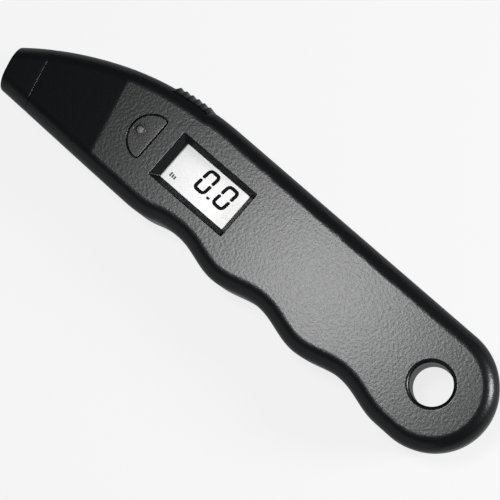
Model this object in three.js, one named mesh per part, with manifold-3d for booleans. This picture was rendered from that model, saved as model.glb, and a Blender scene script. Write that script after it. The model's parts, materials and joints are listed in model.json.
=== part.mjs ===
// Digital tyre gauge: pressure chuck in the nose, liquid-crystal display, thumb slider with a tread probe.
// Millimetres. The gauge lies on its back: +X runs to the hanging hole, +Y to the edge with the thumb
// slider, +Z out of the display. Shapes are drawn with the hanging hole at x = 0, y = 0 and the back at
// z = 0, and the finished group is then shifted so that its origin is the middle of its footprint.

import * as THREE from 'three';
import { mergeVertices } from 'three/addons/utils/BufferGeometryUtils.js';
import Module from 'manifold-3d';

const wasm = await Module();
wasm.setup();

// ---------------------------------------------------------------- casing
const THICKNESS = 20;
const SPLIT_Z = THICKNESS / 2;
const EDGE_ROUND = 4.3;
const WALL = 2;
const SEAM_GAP = 0.3;
const FAR = 200;
const FIT_GAP = 0.3;

const TAIL_CENTRE = { x: 0.3, y: -0.05 };
const TAIL_RADIUS = 17.05;
const TOP_EDGE_Y = 17.3;
const GROOVE_PITCH = 28.6;
const GROOVE_DEPTH = 2.66;
const GROOVE_CREST_Y = -16.95;
const FIRST_CREST_X = -4.8;
const GROOVES_END_X = -87.4;
const GROOVE_BLEND = { x: -89.4, y: -16.75 };
const CHIN = { startX: -92, startY: -16.6, endX: -138, endY: -16 };
const NOSE_TOP = [[-154, -5], [-145.6, -3.95], [-144.5, -3.15]];
const NOSE_TOP_PULL = [[-135.5, 3.4], [-124.3, 8.9]];
const TRACK_LANDING = [[-89.2, 16.7], [-87.2, 17.16], [-84.5, TOP_EDGE_Y]];

const HOLE_RADIUS = 5.6;
const HOLE_RIM = 1.1;
const HOLE_BOSS_RADIUS = 7.9;

// ---------------------------------------------------------------- nose and chuck
const NOZZLE_TILT = THREE.MathUtils.degToRad(14);
const NOZZLE_MOUTH = new THREE.Vector3(-143.5, -9.8, 8.9);
const NOZZLE_OUT = new THREE.Vector3(-Math.cos(NOZZLE_TILT), -Math.sin(NOZZLE_TILT), 0);
const TIP_LENGTH = 10.3;
// Each end of the tip's face rounds off from [across, out] through a pull point to the side of the nose.
const TIP_LOW_CORNER = [[5.6, 0], [6.3, 0], [6.6, -0.8]];
const TIP_TOP_CORNER = [[-5.8, 0], [-6.4, 0], [-6.65, -0.6]];
const RAMP_LENGTH = 33.9;
const RAMP_DROP = 5.5;
const RAMP_OUTSET = 0.02;
const BEND = NOZZLE_MOUTH.clone().addScaledVector(NOZZLE_OUT, -RAMP_LENGTH);
const VALVE_BORE_RADIUS = 4.15;
const VALVE_BORE_DEPTH = 9;
const SEAL_SEAT_RADIUS = 4.6;
const SPIGOT_RADIUS = 5.6;
const SPIGOT_LENGTH = 5.7;
const SPIGOT_ROOT = 8;
// Turned pieces of the chuck, as [radius, distance out of the mouth].
const SEAL_PROFILE = [[1.7, -12], [4.3, -12], [4.3, -9.3], [1.7, -9.3]];
const PIN_PROFILE = [[0, -14.5], [1.2, -14.5], [1.2, -13], [0.75, -13], [0.75, -7], [0, -7]];
const TUBE_PROFILE = [[2.3, -28.6], [3.2, -28.6], [3.2, -18.9], [2.3, -18.9]];
const CHUCK_PROFILE = [
  [0.9, -24.5], [2, -24.5], [2, -18.6], [5.2, -18.6], [5.2, -16.3], [4.3, -16.3],
  [4.3, -12.3], [1.55, -12.3], [1.55, -14.8], [0.9, -14.8],
];
const SENSOR = { half: 4, bottomZ: 5.6, topZ: 11.9, back: -34, front: -29 };
const SENSOR_PORT = [[0, -30], [1.9, -30], [1.9, -25], [0, -25]];
const MOUTH_FLARE = 0.6;

// ---------------------------------------------------------------- thumb slider and tread probe
const TRACK_CENTRE = { x: -87.96, y: -63.79 };
const TRACK_RADIUS = 80.2;
const TRACK_START = THREE.MathUtils.degToRad(1.9);
const TRACK_END = THREE.MathUtils.degToRad(18.1);
const SLIDER_MIDDLE = THREE.MathUtils.degToRad(6.27);
const SLIDER_HALF_ANGLE = THREE.MathUtils.degToRad(4.1);
const SLIDER_TRAVEL = THREE.MathUtils.degToRad(8.6);
const SLIDER_GAP = 0.2;
const SLIDER_HEIGHT = 0.9;
const SLIDER_HALF_WIDTH = 8.6;
const RIB_COUNT = 6;
const RIB_DEPTH = 0.35;
const STEM = { halfWidth: 2.2, halfHeight: 1.2, innerRadius: 74.6 };
const PEG = { halfWidth: 1.2, outerRadius: 76.6, bottomZ: 3.3 };
const PROBE = { width: 3.2, bottomZ: 2.35, topZ: 3.25, length: 49.6, setBack: 0.4 };
const CARRIER = { bottomZ: PROBE.topZ + 0.05, topZ: 5.05, footHalf: 2.4, footStart: -41 };
const CARRIER_ARM = { x0: -99.7, x1: -92.5, y0: 0.1, y1: 12.9 };
const CARRIER_FORK = { x0: -97.8, x1: -94.35, y0: 9.7, y1: 15 };
const GUIDE = { half: 3.4, topZ: 4.4, innerTopZ: 3.6, start: -26.5, end: -19.5 };
const DETENT = { innerRadius: 77.2, outerRadius: 77.6, bottomZ: 5.5, topZ: 8.4 };
const DETENT_START = THREE.MathUtils.degToRad(4);
const DETENT_END = THREE.MathUtils.degToRad(17);

// ---------------------------------------------------------------- display, board and button
const DISPLAY = { x0: -89.74, x1: -67.9, y0: -5.2, y1: 5.98 };
const BEZEL_SPREAD = { left: 2.2, right: 1.45, low: 1.5, high: 1.6 };
const LCD = { x0: -93, x1: -65.4, y0: -7.9, y1: 8.7, z0: 15.2, z1: 17.15 };
const BOARD_Z = 12.2;
const BOARD_THICKNESS = 1;
const BOARD_TOP = BOARD_Z + BOARD_THICKNESS;
const PART_CLEARANCE = 0.15;
const PANEL_FOOT = BOARD_TOP + PART_CLEARANCE;
const PANEL_SEAT = LCD.z0 - PART_CLEARANCE;
const BUTTON = { x: -97.65, y: 0.5, radius: 6.55, flatX: -97.12, flange: 0.9 };
const BUTTON_BASE = { capZ: 17, flangeZ: 16.6, flangeTopZ: 17.6 };
const BUTTON_STEM = { radius: 1.5, bottomZ: 15.35 };
const SWITCH = { x: BUTTON.x - 3.2, y: BUTTON.y, half: 3, topZ: 14.7, wellRadius: 1.4, wellZ: 13.6 };
const PLUNGER = { radius: 1.1, bottomZ: 14.2, topZ: 15.05 };
const BOARD_OUTLINE = [
  [-117, -6], [-109, -6], [-109, -10.5], [-64.5, -10.5], [-64.5, -7.6], [-57, -7.6],
  [-57, 7.8], [-62, 7.8], [-62, 11.2], [-104, 11.2], [-111, 7.6], [-117, 2],
];
const CHIP = { x0: -86, x1: -78, y0: -4, y1: 4, bottomZ: 10.9 };
const ZEBRA = { x0: -92.5, x1: -65.9, upper: [6.9, 8.5], lower: [-7.7, -6.1] };
const LIGHT_GUIDE = { x0: -90.5, x1: -66.5, y0: -5.6, y1: 6.4 };
const LED = { x0: -92.3, x1: -91, y0: -1.1, y1: 1.9, topZ: 14.4 };

// ---------------------------------------------------------------- battery and fasteners
const CELL = { x: -33.4, y: 0.2, radius: 10, bottomZ: 1.9, topZ: 5.1 };
const BAY = { radius: 13.6, topZ: 6.5, contactX0: CELL.x - 16, contactX1: CELL.x - 8 };
const COVER_RADIUS = 11.8;
const COVER_THICKNESS = 1.6;
const COVER_NECK_RADIUS = 10.9;
const LUG_RADIUS = 11.9;
const LUG_COUNT = 3;
const LUG_HALF_ANGLE = THREE.MathUtils.degToRad(11);
const COVER_TURN = THREE.MathUtils.degToRad(50);
const CASE_SCREWS = [[-121.5, 4.2], [-113, -11.2], [-58, 11.7], [-60.5, -11.4], [-14, 0]];
const BOARD_SCREWS = [[-109, 4.5], [-60.3, 0]];
const BOSS_RADIUS = 3.3;
const BOARD_BOSS_RADIUS = 2.2;
const CASE_SCREW = { head: 2.1, headZ: 0.5, headTop: 2, shank: 1.15, tipZ: 15 };
const BOARD_SCREW = { head: 1.7, headZ: 10.9, headTop: 12.05, shank: 0.8, tipZ: 16.3 };
const PLUS_ROUTE = [[-50.4, 3.3, 7.3], [-53.5, 3.6, 8.2], [-57.5, 3.4, 10], [-59, 3.2, 11.8]];
const MINUS_ROUTE = [[-50.4, -1.9, 5.9], [-53.5, -2.6, 7.4], [-57.5, -3, 9.6], [-59, -3.2, 11.8]];
const LEAD_RADIUS = 0.55;

const ABS = { color: 0x1b1c1e, roughness: 0.52 };
const RUBBER = { color: 0x161616, roughness: 0.85 };
const BRASS = { color: 0xb08d45, roughness: 0.32, metalness: 0.9 };
const STEEL = { color: 0xb9bcc0, roughness: 0.3, metalness: 0.95 };
const WHITE_PLASTIC = { color: 0xdcdcd6, roughness: 0.5 };
const ZEBRA_RUBBER = { color: 0xc98f9a, roughness: 0.8 };
const CLEAR_ACRYLIC = { color: 0xf2f6f7, roughness: 0.05, transparent: true, opacity: 0.25 };

const group = new THREE.Group();

// ================================================================ solids

function solid(geometry) {
  const bare = geometry.clone();
  for (const name of Object.keys(bare.attributes)) {
    if (name !== 'position') bare.deleteAttribute(name);
  }
  const merged = mergeVertices(bare, 1e-5);
  const vertProperties = Float32Array.from(merged.attributes.position.array);
  const triVerts = Uint32Array.from(merged.index.array);
  if (signedVolume(vertProperties, triVerts) < 0) {
    triVerts.reverse();
  }
  return new wasm.Manifold(new wasm.Mesh({ numProp: 3, vertProperties, triVerts }));
}

function signedVolume(positions, triangles) {
  const corner = [new THREE.Vector3(), new THREE.Vector3(), new THREE.Vector3()];
  let volume = 0;
  for (let t = 0; t < triangles.length; t += 3) {
    corner.forEach((c, i) => c.fromArray(positions, 3 * triangles[t + i]));
    volume += corner[0].dot(corner[1].cross(corner[2])) / 6;
  }
  return volume;
}

function geometryOf(manifold) {
  const mesh = manifold.getMesh();
  const geometry = new THREE.BufferGeometry();
  geometry.setAttribute('position', new THREE.BufferAttribute(mesh.vertProperties, 3));
  geometry.setIndex(new THREE.BufferAttribute(mesh.triVerts, 1));
  geometry.computeVertexNormals();
  return geometry;
}

function addPart(name, manifold, look) {
  const material = new THREE.MeshStandardMaterial(look);
  const mesh = new THREE.Mesh(geometryOf(manifold), material);
  mesh.name = name;
  group.add(mesh);
}

function join(first, ...others) {
  return others.reduce((sum, other) => sum.add(other), first);
}

function cut(first, ...others) {
  return others.reduce((rest, other) => rest.subtract(other), first);
}

function block(x0, x1, y0, y1, z0, z1) {
  const geometry = new THREE.BoxGeometry(x1 - x0, y1 - y0, z1 - z0);
  geometry.translate((x0 + x1) / 2, (y0 + y1) / 2, (z0 + z1) / 2);
  return solid(geometry);
}

// A block over a rectangle of the plan, between two heights.
function slab({ x0, x1, y0, y1 }, z0, z1) {
  return block(x0, x1, y0, y1, z0, z1);
}

function post(x, y, radius, z0, z1, sides = 12) {
  const geometry = new THREE.CylinderGeometry(radius, radius, z1 - z0, sides);
  geometry.rotateX(Math.PI / 2);
  geometry.translate(x, y, (z0 + z1) / 2);
  return solid(geometry);
}

// A turned piece on a vertical axis. The profile lists [radius, z] round one closed section.
function turned(profile, x, y, sides = 24) {
  const points = profile.map(([r, z]) => new THREE.Vector2(r, z));
  const closed = points[0].x > 0 ? [...points, points[0].clone()] : points;
  const geometry = new THREE.LatheGeometry(closed, sides);
  geometry.rotateX(Math.PI / 2);
  geometry.translate(x, y, 0);
  return solid(geometry);
}

function plate(shape, z0, z1, curveSegments = 10) {
  const geometry = new THREE.ExtrudeGeometry(shape, { depth: z1 - z0, bevelEnabled: false, curveSegments });
  geometry.translate(0, 0, z0);
  return solid(geometry);
}

function polygon(corners) {
  return new THREE.Shape(corners.map(([x, y]) => new THREE.Vector2(x, y)));
}

// Local +Z of the geometry becomes the way out of the nozzle, and local +X points up.
function onNozzle(geometry) {
  geometry.rotateY(-Math.PI / 2);
  geometry.rotateZ(NOZZLE_TILT);
  geometry.translate(NOZZLE_MOUTH.x, NOZZLE_MOUTH.y, NOZZLE_MOUTH.z);
  return solid(geometry);
}

// A turned piece on the nozzle's axis. The profile lists [radius, distance out of the mouth].
function nozzleTurned(profile, sides = 24) {
  const points = profile.map(([r, s]) => new THREE.Vector2(r, s));
  const closed = points[0].x > 0 ? [...points, points[0].clone()] : points;
  const geometry = new THREE.LatheGeometry(closed, sides);
  geometry.rotateX(Math.PI / 2);
  return onNozzle(geometry);
}

function nozzlePost(radius, out0, out1) {
  return nozzleTurned([[0, out0], [radius, out0], [radius, out1], [0, out1]]);
}

// A block in line with the nozzle: across, height above the back, and distance out of the mouth.
function nozzleBlock(across0, across1, z0, z1, s0, s1) {
  const geometry = new THREE.BoxGeometry(z1 - z0, across1 - across0, s1 - s0);
  geometry.translate((z0 + z1) / 2 - NOZZLE_MOUTH.z, (across0 + across1) / 2, (s0 + s1) / 2);
  return onNozzle(geometry);
}

// A block that is bent round the slider's track: two radii, two angles towards the nose, two heights.
function trackBlock(radius0, radius1, angle0, angle1, z0, z1, curveSegments = 4) {
  const shape = new THREE.Shape();
  const quarter = Math.PI / 2;
  shape.absarc(TRACK_CENTRE.x, TRACK_CENTRE.y, radius1, quarter + angle0, quarter + angle1, false);
  shape.absarc(TRACK_CENTRE.x, TRACK_CENTRE.y, radius0, quarter + angle1, quarter + angle0, true);
  return plate(shape, z0, z1, curveSegments);
}

// ================================================================ casing

function casingShape() {
  const shape = new THREE.Shape();
  const quarter = Math.PI / 2;
  shape.absarc(TAIL_CENTRE.x, TAIL_CENTRE.y, TAIL_RADIUS, quarter, -quarter, true);
  const steps = 32;
  for (let i = 0; i <= steps; i += 1) {
    const along = (GROOVES_END_X - FIRST_CREST_X) * i / steps;
    const phase = 2 * Math.PI * along / GROOVE_PITCH;
    shape.lineTo(FIRST_CREST_X + along, GROOVE_CREST_Y + GROOVE_DEPTH * (1 - Math.cos(phase)) / 2);
  }
  shape.quadraticCurveTo(GROOVE_BLEND.x, GROOVE_BLEND.y, CHIN.startX, CHIN.startY);
  shape.lineTo(CHIN.endX, CHIN.endY);
  shape.lineTo(NOSE_TOP[0][0], CHIN.endY);
  NOSE_TOP.forEach((p) => shape.lineTo(...p));
  const trackFoot = trackPoint(TRACK_RADIUS, TRACK_END);
  shape.bezierCurveTo(...NOSE_TOP_PULL[0], ...NOSE_TOP_PULL[1], trackFoot.x, trackFoot.y);
  const { x, y } = TRACK_CENTRE;
  shape.absarc(x, y, TRACK_RADIUS, quarter + TRACK_END, quarter + TRACK_START, true);
  shape.splineThru(TRACK_LANDING.map((p) => new THREE.Vector2(...p)));
  return shape;
}

function trackPoint(radius, angle) {
  const x = TRACK_CENTRE.x - radius * Math.sin(angle);
  const y = TRACK_CENTRE.y + radius * Math.cos(angle);
  return new THREE.Vector2(x, y);
}

// The casing's outline as a slab from z0 to z1 with rounded edges, moved in from the outside by `inset`.
function casingSlab(z0, z1, inset, round, slope = 0) {
  const geometry = new THREE.ExtrudeGeometry(casingShape(), {
    depth: z1 - z0 - 2 * round,
    bevelThickness: round,
    bevelSize: round,
    bevelOffset: -round - inset,
    bevelSegments: 3,
    curveSegments: 6,
  });
  geometry.translate(0, 0, z0 + round);
  const fall = NOZZLE_OUT.clone().multiplyScalar(-slope);
  const lift = slope * BEND.dot(NOZZLE_OUT);
  geometry.applyMatrix4(new THREE.Matrix4(1, 0, 0, 0, 0, 1, 0, 0, fall.x, fall.y, 1, lift, 0, 0, 0, 1));
  return solid(geometry);
}

// The same slab with its front sloping down to the tip, from the bend across the front face.
function rampedSlab(z0, z1, inset, round) {
  const sloping = casingSlab(z0 - FAR, z1, inset - RAMP_OUTSET, round, RAMP_DROP / RAMP_LENGTH);
  const beyondBend = nozzleBlock(-FAR, FAR, -FAR, FAR, -RAMP_LENGTH, FAR);
  return casingSlab(z0, z1, inset, round).subtract(beyondBend.subtract(sloping));
}

const casingBody = rampedSlab(0, THICKNESS, 0, EDGE_ROUND);
const casingHollow = rampedSlab(WALL, THICKNESS - WALL, WALL, EDGE_ROUND - WALL);
const noseOfCasing = nozzleBlock(-FAR, FAR, -FAR, FAR, -TIP_LENGTH, FAR);
const noseWithGap = nozzleBlock(-FAR, FAR, -FAR, FAR, -TIP_LENGTH - SEAM_GAP, FAR);

function hangingHole() {
  const rim = [];
  const steps = 3;
  for (let i = 0; i <= steps; i += 1) {
    const turn = (Math.PI / 2) * i / steps;
    rim.push([HOLE_RADIUS + HOLE_RIM * (1 - Math.cos(turn)), HOLE_RIM * (1 - Math.sin(turn))]);
  }
  const top = rim.map(([r, z]) => [r, THICKNESS - z]);
  const wide = HOLE_RADIUS + HOLE_RIM;
  const under = [[0, -1], [wide, -1], ...rim.reverse()];
  return turned([...under, ...top, [wide, THICKNESS + 1], [0, THICKNESS + 1]], 0, 0, 28);
}

function sliderSlot() {
  const side = (STEM.halfWidth + FIT_GAP) / TRACK_RADIUS;
  const from = SLIDER_MIDDLE - side;
  const to = SLIDER_MIDDLE + SLIDER_TRAVEL + side;
  const half = STEM.halfHeight + FIT_GAP;
  return trackBlock(TRACK_RADIUS - 5, TRACK_RADIUS + 3, from, to, SPLIT_Z - half, SPLIT_Z + half, 8);
}

function buttonShape(grow) {
  const shape = new THREE.Shape();
  const radius = BUTTON.radius + grow;
  const corner = Math.acos((BUTTON.flatX + grow - BUTTON.x) / radius);
  shape.absarc(BUTTON.x, BUTTON.y, radius, corner, 2 * Math.PI - corner, false);
  return shape;
}

function displayOpening() {
  const floor = THICKNESS - WALL;
  const low = floor - 1;
  const high = THICKNESS + 1;
  const geometry = new THREE.BoxGeometry(1, 1, high - low);
  geometry.translate(0, 0, (low + high) / 2);
  const position = geometry.attributes.position;
  for (let i = 0; i < position.count; i += 1) {
    const spread = (position.getZ(i) - floor) / WALL;
    const { left, right, low: near, high: far } = BEZEL_SPREAD;
    position.setX(i, position.getX(i) < 0 ? DISPLAY.x0 - left * spread : DISPLAY.x1 + right * spread);
    position.setY(i, position.getY(i) < 0 ? DISPLAY.y0 - near * spread : DISPLAY.y1 + far * spread);
  }
  return solid(geometry);
}

function chuckRoom() {
  const radius = SPIGOT_RADIUS + FIT_GAP;
  const back = -TIP_LENGTH - SPIGOT_LENGTH - 4;
  return nozzlePost(radius, back, 0);
}

function frontShell() {
  const upper = block(-FAR, FAR, -FAR, FAR, SPLIT_Z + SEAM_GAP / 2, FAR);
  const outer = casingBody.intersect(upper);
  let bosses = post(0, 0, HOLE_BOSS_RADIUS, 0, THICKNESS - 1, 24);
  for (const [x, y] of CASE_SCREWS) {
    bosses = bosses.add(post(x, y, BOSS_RADIUS, 0, THICKNESS - 1));
  }
  for (const [x, y] of BOARD_SCREWS) {
    bosses = bosses.add(post(x, y, BOARD_BOSS_RADIUS, BOARD_TOP + FIT_GAP, THICKNESS - 1, 16));
  }
  let shell = cut(outer, casingHollow).add(bosses.intersect(outer));
  shell = cut(shell, hangingHole(), displayOpening(), sliderSlot(), noseWithGap, chuckRoom());
  shell = cut(shell, plate(buttonShape(FIT_GAP), THICKNESS - WALL - 1, THICKNESS + 1, 16));
  for (const [x, y] of CASE_SCREWS) {
    shell = shell.subtract(post(x, y, CASE_SCREW.shank + FIT_GAP, 0, CASE_SCREW.tipZ + 0.6));
  }
  for (const [x, y] of BOARD_SCREWS) {
    shell = shell.subtract(post(x, y, BOARD_SCREW.shank + FIT_GAP, 0, BOARD_SCREW.tipZ + 0.5));
  }
  return shell;
}

function backShell() {
  const lower = block(-FAR, FAR, -FAR, FAR, -FAR, SPLIT_Z - SEAM_GAP / 2);
  const outer = casingBody.intersect(lower);
  let bosses = post(0, 0, HOLE_BOSS_RADIUS, 1, THICKNESS, 24);
  for (const [x, y] of CASE_SCREWS) {
    bosses = bosses.add(post(x, y, BOSS_RADIUS, 1, THICKNESS));
  }
  bosses = bosses.add(post(CELL.x, CELL.y, BAY.radius, 1, BAY.topZ, 32));
  let shell = cut(outer, casingHollow).add(bosses.intersect(outer));
  shell = cut(shell, hangingHole(), sliderSlot(), noseWithGap, chuckRoom(), batteryWell());
  for (const [x, y] of CASE_SCREWS) {
    const headRoom = post(x, y, CASE_SCREW.head + FIT_GAP, -1, CASE_SCREW.headTop + 0.2);
    shell = cut(shell, headRoom, post(x, y, CASE_SCREW.shank + FIT_GAP, -1, THICKNESS));
  }
  return shell;
}

// The stepped hole that takes the battery cover: a seat, a ledge with a notch for each lug, a wider room.
function batteryWell() {
  const seat = post(CELL.x, CELL.y, COVER_RADIUS + FIT_GAP, -1, COVER_THICKNESS + 0.2, 32);
  const neck = post(CELL.x, CELL.y, COVER_NECK_RADIUS + FIT_GAP, -1, 8, 32);
  const room = post(CELL.x, CELL.y, LUG_RADIUS + 0.45, 2.4, 8, 32);
  let well = join(seat, neck, room, block(BAY.contactX0, BAY.contactX1, -5, 7, 3.9, 8));
  for (let i = 0; i < LUG_COUNT; i += 1) {
    const angle = COVER_TURN + 2 * Math.PI * i / LUG_COUNT;
    well = well.add(sector(LUG_RADIUS + 0.3, angle, LUG_HALF_ANGLE * 1.25, -1, 3));
  }
  return well;
}

function sector(radius, angle, halfAngle, z0, z1) {
  const shape = new THREE.Shape();
  const start = angle - halfAngle;
  shape.moveTo(CELL.x, CELL.y);
  shape.lineTo(CELL.x + radius * Math.cos(start), CELL.y + radius * Math.sin(start));
  shape.absarc(CELL.x, CELL.y, radius, start, angle + halfAngle, false);
  return plate(shape, z0, z1, 3);
}

// ================================================================ nose

function tipShape() {
  const across = new THREE.Vector2(-NOZZLE_OUT.y, NOZZLE_OUT.x);
  const at = ([side, out]) => [
    NOZZLE_MOUTH.x + across.x * side + NOZZLE_OUT.x * out,
    NOZZLE_MOUTH.y + across.y * side + NOZZLE_OUT.y * out,
  ];
  const [lowStart, lowPull, lowEnd] = TIP_LOW_CORNER;
  const [topStart, topPull, topEnd] = TIP_TOP_CORNER;
  const wide = 30;
  const shape = new THREE.Shape();
  shape.moveTo(...at([-wide, -40]));
  shape.lineTo(...at([wide, -40]));
  shape.lineTo(...at([wide, -8]));
  shape.lineTo(...at(lowEnd));
  shape.quadraticCurveTo(...at(lowPull), ...at(lowStart));
  shape.lineTo(...at(topStart));
  shape.quadraticCurveTo(...at(topPull), ...at(topEnd));
  shape.lineTo(...at([-wide, -8]));
  return shape;
}

function nozzleTip() {
  const back = -TIP_LENGTH - SPIGOT_LENGTH;
  const head = casingBody.intersect(noseOfCasing).intersect(plate(tipShape(), -1, THICKNESS + 1, 5));
  const spigot = nozzlePost(SPIGOT_RADIUS, back, -SPIGOT_ROOT);
  const bore = nozzleTurned([
    [0, back - 1],
    [SEAL_SEAT_RADIUS, back - 1],
    [SEAL_SEAT_RADIUS, -VALVE_BORE_DEPTH],
    [VALVE_BORE_RADIUS, -VALVE_BORE_DEPTH],
    [VALVE_BORE_RADIUS, -MOUTH_FLARE],
    [VALVE_BORE_RADIUS + MOUTH_FLARE, 0.01],
    [VALVE_BORE_RADIUS + MOUTH_FLARE, 1],
    [0, 1],
  ]);
  const half = PROBE.width / 2 + FIT_GAP;
  const slot = nozzleBlock(-half, half, PROBE.bottomZ - FIT_GAP, PROBE.topZ + FIT_GAP, -25, 5);
  return cut(head.add(spigot), bore, slot);
}

function pressureSensor() {
  const { half, bottomZ, topZ, back, front } = SENSOR;
  const can = nozzleBlock(-half, half, bottomZ, topZ, back, front);
  return can.add(nozzleTurned(SENSOR_PORT, 16));
}

// ================================================================ thumb slider and tread probe

// The saddle hugs the casing's rounded edge, so its section repeats the edge's rounding.
function sliderSaddle() {
  const flat = THICKNESS / 2 - EDGE_ROUND;
  const heights = [];
  const steps = 4;
  const most = Math.asin((SLIDER_HALF_WIDTH - flat) / EDGE_ROUND);
  for (let i = 0; i <= steps; i += 1) {
    const turn = most * i / steps;
    heights.push([EDGE_ROUND * (1 - Math.cos(turn)), flat + EDGE_ROUND * Math.sin(turn)]);
  }
  const side = (radius, sign) => heights.map(([drop, z]) => [radius - drop, SPLIT_Z + sign * z]);
  const outer = TRACK_RADIUS + SLIDER_HEIGHT;
  const inner = TRACK_RADIUS + SLIDER_GAP;
  const face = [...side(outer, -1).reverse(), ...side(outer, 1)];
  const lining = [...side(inner, 1).reverse(), ...side(inner, -1)];
  const hoop = turned([...face, ...lining], TRACK_CENTRE.x, TRACK_CENTRE.y, 240);
  const from = SLIDER_MIDDLE - SLIDER_HALF_ANGLE;
  const to = SLIDER_MIDDLE + SLIDER_HALF_ANGLE;
  const sectorOfHoop = trackBlock(TRACK_RADIUS - 8, TRACK_RADIUS + 8, from, to, -1, THICKNESS + 1);
  return hoop.intersect(sectorOfHoop);
}

function treadSlider() {
  let slider = sliderSaddle();
  const middle = SLIDER_MIDDLE;
  const stemSide = STEM.halfWidth / TRACK_RADIUS;
  const stemTop = TRACK_RADIUS + SLIDER_GAP + 0.2;
  const low = SPLIT_Z - STEM.halfHeight;
  const high = SPLIT_Z + STEM.halfHeight;
  const stemSpan = [middle - stemSide, middle + stemSide];
  slider = slider.add(trackBlock(STEM.innerRadius, stemTop, ...stemSpan, low, high));
  const pegSide = PEG.halfWidth / TRACK_RADIUS;
  const pegSpan = [middle - pegSide, middle + pegSide];
  slider = slider.add(trackBlock(STEM.innerRadius, PEG.outerRadius, ...pegSpan, PEG.bottomZ, low + 0.5));
  const pitch = 2 * SLIDER_HALF_ANGLE / RIB_COUNT;
  const bottom = TRACK_RADIUS + SLIDER_HEIGHT - RIB_DEPTH;
  for (let i = 1; i < RIB_COUNT; i += 1) {
    const groove = middle - SLIDER_HALF_ANGLE + i * pitch;
    const sides = [groove - pitch / 5, groove + pitch / 5];
    const cutter = trackBlock(bottom, bottom + 3, ...sides, -1, THICKNESS + 1, 1);
    slider = slider.subtract(cutter);
  }
  return slider;
}

function treadProbe() {
  const half = PROBE.width / 2;
  const end = -PROBE.setBack;
  return nozzleBlock(-half, half, PROBE.bottomZ, PROBE.topZ, end - PROBE.length, end);
}

// The carrier stands on the probe's inner end, and its fork takes the slider's peg with room across.
function probeCarrier() {
  const { bottomZ, topZ, footHalf, footStart } = CARRIER;
  const foot = nozzleBlock(-footHalf, footHalf, bottomZ, topZ, -PROBE.length - PROBE.setBack, footStart);
  const arm = slab(CARRIER_ARM, bottomZ, topZ);
  const fork = slab(CARRIER_FORK, bottomZ - 1, topZ + 1);
  return cut(foot.add(arm), fork);
}

function probeGuide() {
  const { half, topZ, innerTopZ, start, end } = GUIDE;
  const room = PROBE.width / 2 + FIT_GAP;
  const outer = nozzleBlock(-half, half, WALL + 0.05, topZ, start, end);
  const inner = nozzleBlock(-room, room, 0, innerTopZ, start - 3, end + 3);
  return cut(outer, inner);
}

function detentSpring() {
  const { innerRadius, outerRadius, bottomZ, topZ } = DETENT;
  return trackBlock(innerRadius, outerRadius, DETENT_START, DETENT_END, bottomZ, topZ, 6);
}

// ================================================================ electronics

function circuitBoard() {
  let board = plate(polygon(BOARD_OUTLINE), BOARD_Z, BOARD_TOP);
  for (const [x, y] of BOARD_SCREWS) {
    board = board.subtract(post(x, y, 1.2, BOARD_Z - 1, BOARD_TOP + 1, 12));
  }
  return board;
}

// A block round the display panel, wider than the panel by `margin` on every side.
function roundPanel(margin, z0, z1) {
  return block(LCD.x0 - margin, LCD.x1 + margin, LCD.y0 - margin, LCD.y1 + margin, z0, z1);
}

function displayFrame() {
  return cut(roundPanel(1.65, PANEL_FOOT, LCD.z1), roundPanel(0.2, 0, THICKNESS));
}

function zebraStrip([y0, y1]) {
  return block(ZEBRA.x0, ZEBRA.x1, y0, y1, PANEL_FOOT, PANEL_SEAT);
}

function lightButton() {
  const { capZ, flangeZ, flangeTopZ } = BUTTON_BASE;
  const cap = plate(buttonShape(0), capZ, THICKNESS, 16);
  const flange = plate(buttonShape(BUTTON.flange), flangeZ, flangeTopZ, 16);
  return join(cap, flange, post(SWITCH.x, SWITCH.y, BUTTON_STEM.radius, BUTTON_STEM.bottomZ, capZ));
}

function switchBody() {
  const { x, y, half, topZ, wellRadius, wellZ } = SWITCH;
  const body = block(x - half, x + half, y - half, y + half, PANEL_FOOT, topZ);
  return cut(body, post(x, y, wellRadius, wellZ, topZ + 1, 16));
}

// ================================================================ battery

function batteryCover() {
  const { x, y } = CELL;
  const disc = post(x, y, COVER_RADIUS, 0, COVER_THICKNESS, 32);
  const neck = post(x, y, COVER_NECK_RADIUS, 1, 3.6, 32);
  const cellRoom = post(x, y, CELL.radius + FIT_GAP, COVER_THICKNESS, 5, 32);
  let cover = disc.add(cut(neck, cellRoom));
  for (let i = 0; i < LUG_COUNT; i += 1) {
    const lug = sector(LUG_RADIUS, 2 * Math.PI * i / LUG_COUNT, LUG_HALF_ANGLE, 2.7, 3.6);
    cover = cover.add(lug.subtract(post(x, y, CELL.radius + FIT_GAP, 0, 5, 32)));
  }
  const coinSlot = block(x - 6.5, x + 6.5, y - 0.9, y + 0.9, -1, 0.9);
  return cut(cover, coinSlot);
}

function coinCell() {
  const { x, y, radius, bottomZ, topZ } = CELL;
  const profile = [[0, bottomZ], [radius - 0.3, bottomZ], [radius, bottomZ + 0.3], [radius, topZ - 0.5],
    [radius - 0.9, topZ - 0.5], [radius - 1.1, topZ], [0, topZ]];
  return turned(profile, x, y, 28);
}

function contactMinus() {
  const { x, y } = CELL;
  const strip = block(x - 16.6, x + 2.5, y - 3.6, y - 0.6, 5.7, 6.1);
  const dimple = block(x - 1.2, x + 1.2, y - 3, y - 1.2, 5.3, 5.9);
  return strip.add(dimple);
}

function contactPlus() {
  const { x, y } = CELL;
  const blade = block(x - 10.9, x - 10.4, y + 1.2, y + 5, 4, 7.5);
  const tab = block(x - 16.6, x - 10.4, y + 1.2, y + 5, 7.1, 7.5);
  return blade.add(tab);
}

function lead(route) {
  const path = new THREE.CatmullRomCurve3(route.map((p) => new THREE.Vector3(...p)));
  const section = new THREE.Shape();
  section.absarc(0, 0, LEAD_RADIUS, 0, 2 * Math.PI, false);
  return solid(new THREE.ExtrudeGeometry(section, { steps: 12, extrudePath: path, curveSegments: 4 }));
}

// ================================================================ fasteners

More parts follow.
